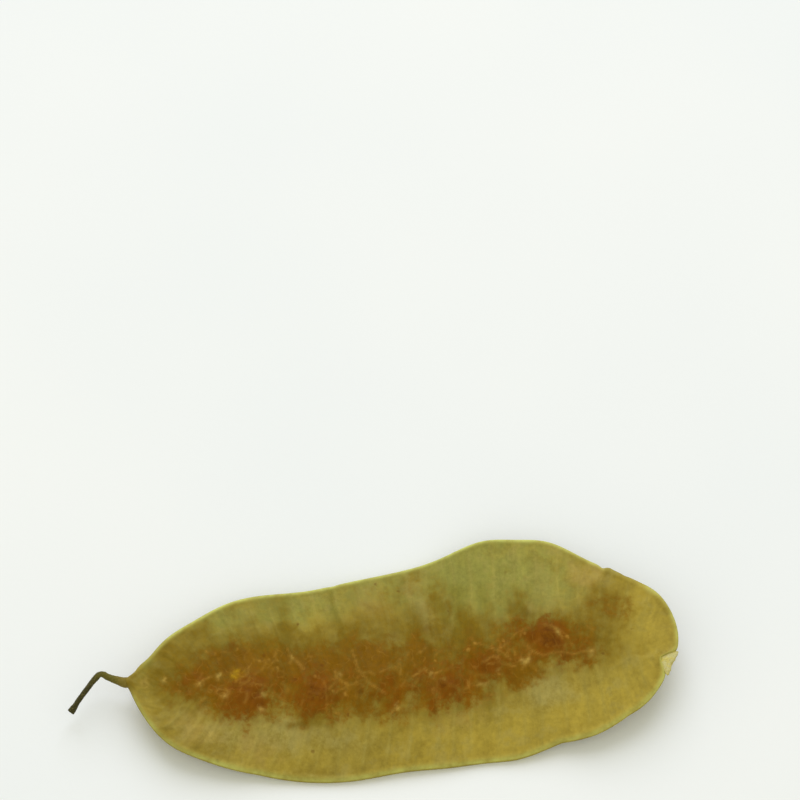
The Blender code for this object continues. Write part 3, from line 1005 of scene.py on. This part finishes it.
def seed_line(x):
    """How far across the blade the line of seeds runs, in millimetres."""
    return np.interp(x, [seed[0] for seed in SEEDS], [seed[1] for seed in SEEDS])


def strands(x, y, seed):
    """Curly fibres in the skin over the seeds."""
    draw = random.Random(seed)
    drawn = np.zeros_like(x)
    for _ in range(STRANDS):
        px = draw.uniform(*STRAND_SPAN)
        py = float(seed_line(px)) + draw.gauss(0.0, STRAND_SPREAD)
        heading = draw.uniform(0.0, 2.0 * math.pi)
        curl = draw.uniform(-STRAND_CURL, STRAND_CURL)
        points = [(px, py)]
        for _ in range(draw.randint(*STRAND_STEPS)):
            heading += curl + draw.gauss(0.0, STRAND_WANDER)
            px += STRAND_STEP * math.cos(heading)
            py += STRAND_STEP * math.sin(heading)
            points.append((px, py))
        strength = draw.uniform(*STRAND_STRENGTH)
        drawn = np.maximum(drawn, strength * near_path(x, y, points, draw.uniform(*STRAND_BREADTH)))
    return drawn


def nearness(x, y, spots, seed, rag, size, layers):
    """How far each point lies from each spot, in its reaches squared, with a ragged border."""
    ragged_x = x + rag * (mottling(x, y, size, seed, layers) - 0.5)
    ragged_y = y + rag * (mottling(x, y, size, seed + 1, layers) - 0.5)
    for px, py, reach_x, reach_y, strength in spots:
        yield strength, ((ragged_x - px) / reach_x) ** 2 + ((ragged_y - py) / reach_y) ** 2


def patches(x, y, spots, seed):
    """Ragged patches that add up: each spot's place, reaches in millimetres and strength."""
    bare = np.ones_like(x)
    for strength, apart in nearness(x, y, spots, seed, PATCH_RAG, PATCH_RAG_SIZE, 3):
        bare *= 1.0 - strength * np.exp(-(apart / PATCH_SPREAD))
    return 1.0 - bare


def marks(x, y, spots, seed):
    """Small ragged marks that don't add up: each spot's place, reaches and strength."""
    marked = np.zeros_like(x)
    for strength, apart in nearness(x, y, spots, seed, MARK_RAG, MARK_RAG_SIZE, 2):
        marked = np.maximum(marked, strength * np.exp(-apart))
    return marked


def shown_face(x, y):
    """Colour masks of the face that lies upwards."""
    masks = {key: patches(x, y, spots, seed) for key, (spots, seed, _) in PATCHES.items()}
    masks.update({key: marks(x, y, spots, seed) for key, (spots, seed, _) in MARKS.items()})
    return masks


def hidden_face(x, y):
    """Colour masks of the face that lies downwards: browned round each seed, the rest end for end."""
    masks = {}
    for key, (spots, _, seed) in PATCHES.items():
        if key in ROUND_SEEDS:
            reach_x, reach_y, strength = ROUND_SEEDS[key]
            round_seeds = [(sx, sy, reach_x, reach_y, strength * size) for sx, sy, size in SEEDS]
            masks[key] = patches(x, y, round_seeds, seed)
        else:
            masks[key] = patches(-x, y, spots, seed)
    masks.update({key: marks(-x, y, spots, seed) for key, (spots, _, seed) in MARKS.items()})
    return masks


def creased(x, y, relief, strand):
    """Adds the upper face's curled fibres and folds to the relief, and masks where it rises or sinks, for
    the folds' painted highlight and painted shade.
    """
    raised = np.zeros_like(x)
    fold_shade = np.zeros_like(x)
    for points in ARCS:
        arc = near_path(x, y, points, ARC_BREADTH)
        relief = relief + STRAND_RISE * np.maximum(arc - strand, 0.0)
        strand = np.maximum(strand, arc)
    for points, breadth, rise in FOLDS:
        path = near_path(x, y, points, breadth)
        relief = relief + rise * MM * path
        # Raised folds are masked for painted highlight, sunk ones for painted shade
        tinted = raised if rise > 0.0 else fold_shade
        np.maximum(tinted, path * min(abs(rise) / FOLD_FULL, 1.0), out=tinted)
    return relief, strand, raised, fold_shade


def skin_relief(along, across, x, y, side):
    """Height of the skin's fine relief in metres, and its masks; x and y are in millimetres."""
    depth = depth_from_edge(along, across)
    place = (along - VEIN_LEAN * depth) / (1.0 - VEIN_FAN * depth) * HALF_LENGTH / MM
    over = across * HALF_WIDTH / MM
    draw = FACE_DRAWS[side]
    net = cell_borders(place / NET_PITCH[0], over / NET_PITCH[1], draw)
    strand = strands(x, y, draw + 1)
    ripple = mottling(place, over, RIPPLE_SIZE, draw + 2, 2) - 0.5
    swell = mottling(x, y, SWELL_SIZE, draw + 3, 2) - 0.5
    pucker = mottling(x, y, PUCKER_SIZE, draw + 4) - 0.5
    zone = np.clip(np.exp(-(((y - seed_line(x)) / SEED_ZONE) ** 2)), 0.0, 1.0)
    relief = NET_RISE * net + STRAND_RISE * strand + RIPPLE_RISE * ripple + SWELL_RISE * swell
    relief += PUCKER_RISE * pucker * zone
    masks = {"raised": np.zeros_like(x), "fold_shade": np.zeros_like(x)}
    if side > 0:
        relief, strand, masks["raised"], masks["fold_shade"] = creased(x, y, relief, strand)
    masks["strand"] = strand
    masks["grain_along"] = place
    masks["grain_across"] = over + FACES_APART * side
    return relief, masks


def drawn_base(aside, inward, at_base):
    """How strong the short neck is, and how far the base is pinched in beside it."""
    neck = np.exp(-((aside / NECK_BREADTH) ** 2)) * np.exp(-inward / NECK_FADE) * at_base
    pinch = (1.0 - np.exp(-((aside / PINCH_FROM) ** 2))) * np.exp(-((aside / PINCH_TO) ** 2))
    pinch *= np.where(aside > 0.0, PINCH_DEPTH[1], PINCH_DEPTH[0]) * np.exp(-inward / PINCH_FADE) * at_base
    return neck, pinch


def nicked(x, y, across, inward):
    """The plan's y with the small nicks taken out of the outline; x is in millimetres."""
    for nick_place, edge, nick_depth, breadth in NICKS:
        near = np.exp(-(((x - nick_place) / breadth) ** 2)) * np.exp(-inward / NICK_FADE)
        y = y - edge * nick_depth * MM * near * (across * edge > 0.0)
    return y


def face_of_skin(u, v, side):
    """Plan, middle height, half thickness and masks of one face; side is 1 above and -1 below."""
    along, across, x, y, inward = blade_places(u, v)
    mx = x / MM
    my = y / MM
    relief, masks = skin_relief(along, across, mx, my, side)
    inner = np.clip((inward - SEAM_INSET) / RELIEF_START, 0.0, 1.0)
    half = half_thickness(along, across, x, y, inward, FINE_VEIN_WIDTH, SKIN_SEAM_RISE)
    half += relief * inner
    aside = y - BASE_OFFSET * MM - NECK_PLACE
    at_base = along < NECK_FROM
    neck, pinch = drawn_base(aside, inward, at_base)
    half += NECK_HALF * neck
    x = x - NECK_REACH * neck + pinch
    y = nicked(mx, y, across, inward)
    masks.update(shown_face(mx, my) if side > 0 else hidden_face(mx, my))
    masks["vein"] = vein_ridges(along, across, FINE_VEIN_WIDTH) * inner
    bare = patches(mx, my, RIM_BARE, FACE_DRAWS[side] + 5) if side > 0 else 0.0
    # Pale rim: the edge's own paler colour and a painted glow of light through the thin edge, weaker on
    # the lower edge
    masks["rim"] = np.exp(-((inward / MM / RIM_BREADTH) ** 2)) * (1.0 - bare)
    masks["rim"] *= np.where(across > 0.0, 1.0, RIM_LOWER_SHARE)
    masks["rim"] *= 1.0 - np.exp(-((aside / RIM_BASE_BARE) ** 2)) * at_base
    masks["suture"] = np.zeros_like(x)
    return x - notch(x, y, inward), y, warp(along, across), half, masks


def loop_round(columns, rows):
    """Numbers of the grid's outer points, in order, anticlockwise seen from above."""
    near = list(range(columns))
    right = [columns - 1 + columns * j for j in range(1, rows)]
    far = [columns * (rows - 1) + i for i in range(columns - 2, -1, -1)]
    left = [columns * j for j in range(rows - 2, 0, -1)]
    return np.array(near + right + far + left)


def grid_quads(columns, rows):
    """Corner numbers of a grid's faces, anticlockwise seen from above."""
    i, j = np.meshgrid(np.arange(columns - 1), np.arange(rows - 1))
    first = (i + columns * j).ravel()
    return np.column_stack((first, first + 1, first + columns + 1, first + columns))


def edge_ring(upper, lower, outward, t):
    """One row of the rounded edge, from the upper outline at 0 to the lower one at 1."""
    out = EDGE_ROUND * math.sin(math.pi * t) - GROOVE_DEPTH * in_groove(t)
    ring = upper * (1.0 - t) + lower * t
    ring[:, :2] = upper[:, :2] + out * outward
    return ring


def in_groove(t):
    """1 in the suture's groove, half way down the edge."""
    return math.exp(-(((t - 0.5) / GROOVE_SHARE) ** 2))


def add_piece(name, mesh):
    """A smooth piece of this mesh, put in the scene."""
    mesh.shade_smooth()
    piece = bpy.data.objects.new(name, mesh)
    bpy.context.scene.collection.objects.link(piece)
    return piece


def masked_mesh(name, points, faces, values):
    """A mesh that carries each mask's value at its points."""
    mesh = bpy.data.meshes.new(name)
    mesh.from_pydata(np.concatenate(points), [], np.concatenate(faces))
    for key, parts in values.items():
        layer = mesh.attributes.new(key, "FLOAT", "POINT")
        layer.data.foreach_set("value", np.concatenate(parts).astype(np.float32))
    return mesh


def make_skin(name, plane):
    """The pod's whole skin: two faces joined by a rounded edge with the suture's groove in it."""
    lines_u = skin_lines(SKIN_CELLS[0], HALF_LENGTH) * (1.0 - EDGE_ROUND / HALF_LENGTH)
    lines_v = skin_lines(SKIN_CELLS[1], HALF_WIDTH) * (1.0 - EDGE_ROUND / HALF_WIDTH)
    u, v = (part.ravel() for part in np.meshgrid(lines_u, lines_v))
    columns = len(lines_u)
    rows = len(lines_v)
    x, y, middle, half, masks = face_of_skin(u, v, 1)
    lower_middle, lower_half, lower_masks = face_of_skin(u, v, -1)[2:]
    floor = plane[0] * x + plane[1] * y + plane[2]
    x = x + BLADE_CENTRE[0]
    y = y + BLADE_CENTRE[1]
    upper = np.column_stack((x, y, middle + half - floor))
    lower = np.column_stack((x, y, np.maximum(lower_middle - lower_half - floor, 0.0)))
    points = [upper, lower]
    values = {key: [masks[key], lower_masks[key]] for key in masks}
    loop = loop_round(columns, rows)
    run = (np.roll(upper[loop], -1, axis=0) - np.roll(upper[loop], 1, axis=0))[:, :2]
    run /= np.linalg.norm(run, axis=1)[:, None]
    outward = np.column_stack((run[:, 1], -run[:, 0]))
    count = columns * rows
    faces = [grid_quads(columns, rows), grid_quads(columns, rows)[:, ::-1] + count]
    rings = [loop]
    for k in range(1, EDGE_ROWS):
        t = k / EDGE_ROWS
        rings.append(2 * count + (k - 1) * len(loop) + np.arange(len(loop)))
        points.append(edge_ring(upper[loop], lower[loop], outward, t))
        for key, parts in values.items():
            # The edge's rows carry part of the rim's pale colour and painted glow
            kept = RIM_SIDE_SHARE if key == "rim" else 1.0
            parts.append(kept * parts[0 if t <= 0.5 else 1][loop])
        values["suture"][-1] = np.full(len(loop), in_groove(t))
    rings.append(loop + count)
    for ring, below in zip(rings, rings[1:]):
        faces.append(np.column_stack((ring, below, np.roll(below, -1), np.roll(ring, -1))))
    return add_piece(name, masked_mesh(name, points, faces, values))


def point_on_blade(u, v, plane):
    """The middle of the blade's thickness at a place on the square."""
    along, across, x, y, inward = blade_places(u, v)
    floor = plane[0] * x + plane[1] * y + plane[2]
    x = x - notch(x, y, inward)
    return Vector((x + BLADE_CENTRE[0], y + BLADE_CENTRE[1], warp(along, across) - floor))


def notch_root(plane):
    """The deepest part of the notch, on the solid's grid line nearest to it."""
    lines = solid_lines(SOLID_CELLS[1], HALF_WIDTH)
    y = blade_places(np.ones_like(lines), lines)[3]
    return point_on_blade(1.0, lines[int(np.argmin(np.abs(y - NOTCH_PLACE)))], plane)


def make_stalk(base):
    """The bent stalk with its dried wrinkles, on the same line as the solid one."""
    curve = bpy.data.curves.new("stalk_line", "CURVE")
    curve.dimensions = "3D"
    curve.resolution_u = STALK_SKIN_STEPS
    curve.bevel_depth = MM
    curve.bevel_resolution = STALK_SKIN_SIDES_LEVEL
    curve.use_fill_caps = True
    spline = curve.splines.new("BEZIER")
    spline.bezier_points.add(len(STALK_SKIN_POINTS) - 1)
    start = base - Vector((STALK_GAP, 0.0, 0.0))
    for point, (x, y, z, radius) in zip(spline.bezier_points, STALK_SKIN_POINTS):
        point.co = start + Vector((x, y, z)) * MM
        point.radius = radius
        point.handle_left_type = "AUTO"
        point.handle_right_type = "AUTO"
    line = bpy.data.objects.new("stalk_line", curve)
    mesh = bpy.data.meshes.new_from_object(line)
    bpy.data.objects.remove(line, do_unlink=True)
    mesh.name = "stalk_skin"
    normals = [Vector(vertex.normal) for vertex in mesh.vertices]
    for vertex, normal in zip(mesh.vertices, normals):
        along = vertex.co / STALK_WRINKLE
        drawn = Vector((along.x * STALK_WRINKLE_DRAWN, along.y * STALK_WRINKLE_DRAWN, along.z))
        folds = noise.noise(drawn)
        grain = noise.noise(vertex.co / STALK_GRAIN)
        vertex.co += normal * (STALK_WRINKLE_DEPTH * folds + STALK_GRAIN_DEPTH * grain)
    nearest = max(vertex.co.x for vertex in mesh.vertices)
    farthest = min(vertex.co.x for vertex in mesh.vertices)
    layer = mesh.attributes.new("towards_pod", "FLOAT", "POINT")
    for vertex, value in zip(mesh.vertices, layer.data):
        value.value = ((vertex.co.x - farthest) / (nearest - farthest)) ** STALK_SHADE_POWER
    return add_piece("stalk_skin", mesh)


def make_style_end(root):
    """The dried stump of the style: a flat furrowed flake that widens from the notch to a torn end."""
    mesh = bmesh.new()
    back = Vector((*STYLE_BACK, 0.0)) * MM
    upper_corner = Vector((*STYLE_CORNERS[0], 0.0)) * MM
    lower_corner = Vector((*STYLE_CORNERS[1], 0.0)) * MM
    end = (upper_corner + lower_corner) / 2.0
    spread = (upper_corner - lower_corner) / 2.0
    rings = []
    draw = random.Random(STYLE_SEED)
    torn = [draw.uniform(*STYLE_TORN) for _ in range(STYLE_SIDES)]
    outward = (end - back).normalized() * STYLE_TEAR
    for i in range(STYLE_RINGS + 1):
        share = i / STYLE_RINGS
        broad = float(np.interp(share, *zip(*STYLE_BROAD)))
        thick = float(np.interp(share, *zip(*STYLE_THICK))) * MM
        middle = root + back.lerp(end, share) + Vector((0.0, 0.0, STYLE_RISE * share))
        ring = []
        for j in range(STYLE_SIDES):
            turn = 2.0 * math.pi * j / STYLE_SIDES
            furrow = 1.0 + STYLE_FURROW * math.cos(STYLE_FURROWS * turn + STYLE_TWIST * share)
            across = spread * broad * math.cos(turn)
            tear = outward * torn[min(j, STYLE_SIDES - j)] * share**STYLE_TEAR_POWER
            point = middle + across + tear + Vector((0.0, 0.0, thick * furrow * math.sin(turn)))
            ring.append(mesh.verts.new(point))
        rings.append(ring)
    for lower, upper in zip(rings, rings[1:]):
        for j in range(STYLE_SIDES):
            k = (j + 1) % STYLE_SIDES
            mesh.faces.new((lower[j], lower[k], upper[k], upper[j]))
    mesh.faces.new(rings[0][::-1])
    mesh.faces.new(rings[-1])
    bmesh.ops.recalc_face_normals(mesh, faces=mesh.faces)
    data = bpy.data.meshes.new("style_end")
    mesh.to_mesh(data)
    mesh.free()
    return add_piece("style_end", data)


def valve_mottlings(skin, place):
    """The irregular patterns that all the valve's colours share."""
    return {
        "fibre": skin.mottle(skin.grain(*FIBRE_GRAIN), *FIBRE),
        "streak": skin.mottle(skin.grain(*STREAK_GRAIN), *STREAK),
        "cloud": skin.mottle(place, *CLOUD),
        "bruise": skin.mottle(skin.place(BRUISE_SHIFT), *BRUISE),
        "blotch": skin.mottle(place, *BLOTCH),
        "fine": skin.mottle(place, *FINE),
    }


def wash_share(skin, drawn, wash):
    """Where a wash lies: its mask, with the border moved by the mottlings."""
    own = skin.mask(wash.mask)
    share = own
    for name, reach in wash.wanders.items():
        share = share + drawn[name].wander(reach)
    share = share.between(wash.begins, wash.full)
    return share if wash.own_full is None else share * own.between(0.0, wash.own_full)


def washed(skin, drawn, colour, wash):
    """The colour with the wash laid over it."""
    return skin.blend(wash_share(skin, drawn, wash) * wash.cover, colour, wash.tint)


def valve_ground(skin, drawn):
    """The colours of the flat parts: khaki, olive, green and gold, with bruises and paler veins, painted
    highlight on raised folds and painted shade in sunk ones.
    """
    colour = skin.blend(drawn["cloud"], KHAKI, OLIVE)
    for wash in (GREEN_WASH, GOLD_WASH, GREY_WASH, PEACH_WASH):
        colour = washed(skin, drawn, colour, wash)
    bruise = drawn["bruise"]
    bruised = bruise.between(*BRUISED) * drawn["streak"] * BRUISE_COVER
    colour = skin.blend(bruised, colour, OLIVE_BROWN)
    colour = skin.blend((1.0 - bruise).between(*UNBRUISED) * UNBRUISED_COVER, colour, ASH_GREEN)
    # Paler veins, then painted highlight on raised folds and painted shade in sunk folds
    for mask, cover, tint in VEIN_TINT_AND_FOLD_SHADING:
        colour = skin.blend(skin.mask(mask) * cover, colour, tint)
    return colour


def valve_threads(skin, drawn, place, colour, tanned):
    """Pale curled threads, strands and flecks where the skin is tanned, and specks, spots and pocks."""
    fine = drawn["fine"]
    wisp = skin.node("TexNoise", {}, {"Vector": place, "Scale": WISP_SIZE}, "Color")
    bent = skin.vector("ADD", place, wisp)
    curled = skin.node("TexNoise", {}, {"Vector": bent, "Scale": CURL_SIZE, "Detail": CURL_DETAIL})
    thread = 1.0 - (curled - 0.5).between(0.0, THREAD_HALF) - (0.5 - curled).between(0.0, THREAD_HALF)
    thread = thread * tanned * drawn["blotch"].between(*THREADED)
    colour = skin.blend(thread * THREAD_COVER, colour, CREAM)
    strand = skin.mask("strand") * tanned * fine.at_least(*STRAND_GRAIN)
    colour = skin.blend(strand * STRAND_COVER, colour, CREAM)
    colour = skin.blend(skin.mask("spot") * fine.at_least(*MARK_GRAIN), colour, BURNT)
    apart = skin.vector("DISTANCE", place, YELLOWEST_SPECK, "Value")
    speck_colour = skin.blend(apart.between(*YELLOW_SPAN), STRAW, PALE_CREAM)
    colour = skin.blend(skin.mask("speck") * fine.at_least(*MARK_GRAIN), colour, speck_colour)
    fleck = skin.dots(bent, FLECK_SIZE, FLECK_EDGE) * drawn["cloud"].between(*FLECKED)
    fleck = fleck * fine.at_least(*FLECK_GRAIN)
    colour = skin.blend(fleck * tanned * FLECK_COVER, colour, CREAM)
    pock = skin.dots(place, POCK_SIZE, POCK_EDGE) * drawn["blotch"].between(*POCKED)
    return skin.blend(pock * POCK_COVER, colour, BURNT)


def dried_valve_finish():
    """The pod's papery skin: green to golden margins, browned over the seeds, with a pale seam that is
    partly its own colour and partly a painted glow of light through the thin edge.
    """
    skin = Finish("dried_valve")
    place = skin.place()
    drawn = valve_mottlings(skin, place)
    colour = washed(skin, drawn, valve_ground(skin, drawn), STAIN_AND_SHADOW_WASH)
    tanned = wash_share(skin, drawn, TAN_WASH)
    colour = skin.blend(tanned * TAN_WASH.cover, colour, TAN_WASH.tint)
    colour = washed(skin, drawn, colour, RUST_WASH)
    colour = washed(skin, drawn, colour, BURNT_WASH)
    colour = valve_threads(skin, drawn, place, colour, tanned)
    for name, dark, light in SHADES:
        colour = skin.shaded(drawn[name], colour, dark, light)
    # Pale rim: partly the edge's own colour, partly a painted glow of light through the thin edge
    colour = skin.blend(skin.mask("rim") * drawn["blotch"].at_least(*RIM_COVER), colour, PALE_RIM_AND_GLOW)
    suture = skin.mask("suture") * drawn["streak"].at_least(*SUTURE_COVER)
    colour = skin.blend(suture, colour, OLIVE_BROWN)
    rough = VALVE_ROUGHNESS - tanned * TAN_SMOOTHNESS + drawn["fine"].wander(ROUGHNESS_WANDER)
    height = sum(drawn[name] * share for name, share in VALVE_GRAIN.items())
    sockets = {"Base Color": colour, "Roughness": rough, "Specular IOR Level": VALVE_SHEEN}
    return skin.surface(sockets, height, VALVE_BUMP)


def stalk_finish():
    """Dark olive, drier and paler on the ridges, dark at the broken end."""
    bark = Finish("dried_stalk")
    place = bark.place()
    ridge = bark.mottle(place, *STALK_RIDGE)
    grit = bark.mottle(place, *STALK_GRIT)
    towards_pod = bark.mask("towards_pod") + ridge.wander(STALK_WANDER)
    colour = bark.blend(towards_pod.between(*OLIVE_SPAN), STALK_DARK, STALK_OLIVE)
    colour = bark.blend(towards_pod.between(*ROOT_SPAN), colour, STALK_ROOT)
    colour = bark.blend(grit.between(*GRITTY) * STALK_GRIT_COVER, colour, STALK_PALE)
    rough = grit.at_least(*STALK_ROUGHNESS)
    sockets = {"Base Color": colour, "Roughness": rough, "Specular IOR Level": STALK_SHEEN}
    return bark.surface(sockets, (ridge + grit) * 0.5, STALK_BUMP)


def style_finish():
    """Pale cream to yellow, with a little brown grit."""
    husk = Finish("dried_style")
    place = husk.place()
    patch = husk.mottle(place, *STYLE_PATCH)
    grit = husk.mottle(place, *STYLE_GRIT)
    colour = husk.blend(patch.between(*STYLE_YELLOWED), STYLE_PALE, STYLE_YELLOW)
    colour = husk.blend(grit.between(*GRITTY) * STYLE_GRIT_COVER, colour, STYLE_BROWN)
    rough = grit.at_least(*STYLE_ROUGHNESS)
    sockets = {"Base Color": colour, "Roughness": rough, "Specular IOR Level": STYLE_SHEEN}
    return husk.surface(sockets, grit, STYLE_BUMP)


def floor_finish():
    """A pale plain ground with faint clouds."""
    ground = Finish("pale_ground")
    place = ground.place()
    colour = ground.blend(ground.mottle(place, *GROUND_CLOUD), GROUND_COOL, GROUND_WARM)
    sockets = {"Base Color": colour, "Roughness": GROUND_ROUGHNESS, "Specular IOR Level": GROUND_SHEEN}
    return ground.surface(sockets, ground.mottle(place, *GROUND_GRAIN), GROUND_BUMP)


def make_floor():
    """The pale ground, a hair below the pod."""
    mesh = bmesh.new()
    bmesh.ops.create_grid(mesh, x_segments=1, y_segments=1, size=FLOOR_HALF)
    data = bpy.data.meshes.new("ground")
    mesh.to_mesh(data)
    mesh.free()
    data.materials.append(floor_finish())
    ground = bpy.data.objects.new("ground", data)
    ground.location.z = -FLOOR_GAP
    bpy.context.scene.collection.objects.link(ground)


def make_light():
    """Even light from all round, and one broad soft light from above and behind the pod."""
    world = bpy.data.worlds.new("studio")
    world.use_nodes = True
    background = world.node_tree.nodes["Background"]
    background.inputs["Color"].default_value = (*ROUND_LIGHT, 1.0)
    background.inputs["Strength"].default_value = 1.0
    bpy.context.scene.world = world
    lamp = bpy.data.lights.new("window", "AREA")
    lamp.shape = "DISK"
    lamp.size = LAMP_BREADTH
    lamp.energy = LAMP_POWER
    lamp.color = LAMP_COLOUR
    window = bpy.data.objects.new("window", lamp)
    towards = Vector((0.0, math.cos(LAMP_RISE), math.sin(LAMP_RISE)))
    window.location = towards * LAMP_DISTANCE
    window.rotation_euler = towards.to_track_quat("Z", "Y").to_euler()
    bpy.context.scene.collection.objects.link(window)


def make_camera():
    """The photograph's own view."""
    turn = CAMERA_TURN
    rise = CAMERA_HEIGHT_ANGLE
    back = Vector((math.sin(turn) * math.cos(rise), -math.cos(turn) * math.cos(rise), math.sin(rise)))
    right = Vector((math.cos(turn), math.sin(turn), 0.0))
    up = back.cross(right)
    lens = bpy.data.cameras.new("camera")
    lens.lens = CAMERA_LENS
    lens.sensor_width = CAMERA_SENSOR
    lens.clip_start, lens.clip_end = CAMERA_CLIP
    camera = bpy.data.objects.new("camera", lens)
    turned = Matrix((right, up, back)).transposed().to_4x4()
    camera.matrix_world = Matrix.Translation(Vector(CAMERA_AIM) + back * CAMERA_DISTANCE) @ turned
    bpy.context.scene.collection.objects.link(camera)
    bpy.context.scene.camera = camera


def main():
    """The pod, its stalk and the style's end, then the ground, the light and the camera."""
    bpy.context.scene.view_settings.view_transform = "Standard"
    bpy.context.scene.view_settings.look = "None"
    plane = laying_plane(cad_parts["pod"])
    pod = make_skin("pod_skin", plane)
    pod.data.materials.append(dried_valve_finish())
    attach(pod, "root")
    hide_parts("pod")

    stalk = make_stalk(point_on_blade(-1.0, 0.0, plane))
    stalk.data.materials.append(stalk_finish())
    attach(stalk, "root")
    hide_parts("stalk")

    style = make_style_end(notch_root(plane))
    style.data.materials.append(style_finish())
    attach(style, "root")

    make_floor()
    make_light()
    make_camera()


main()
bpy.context.view_layer.update()
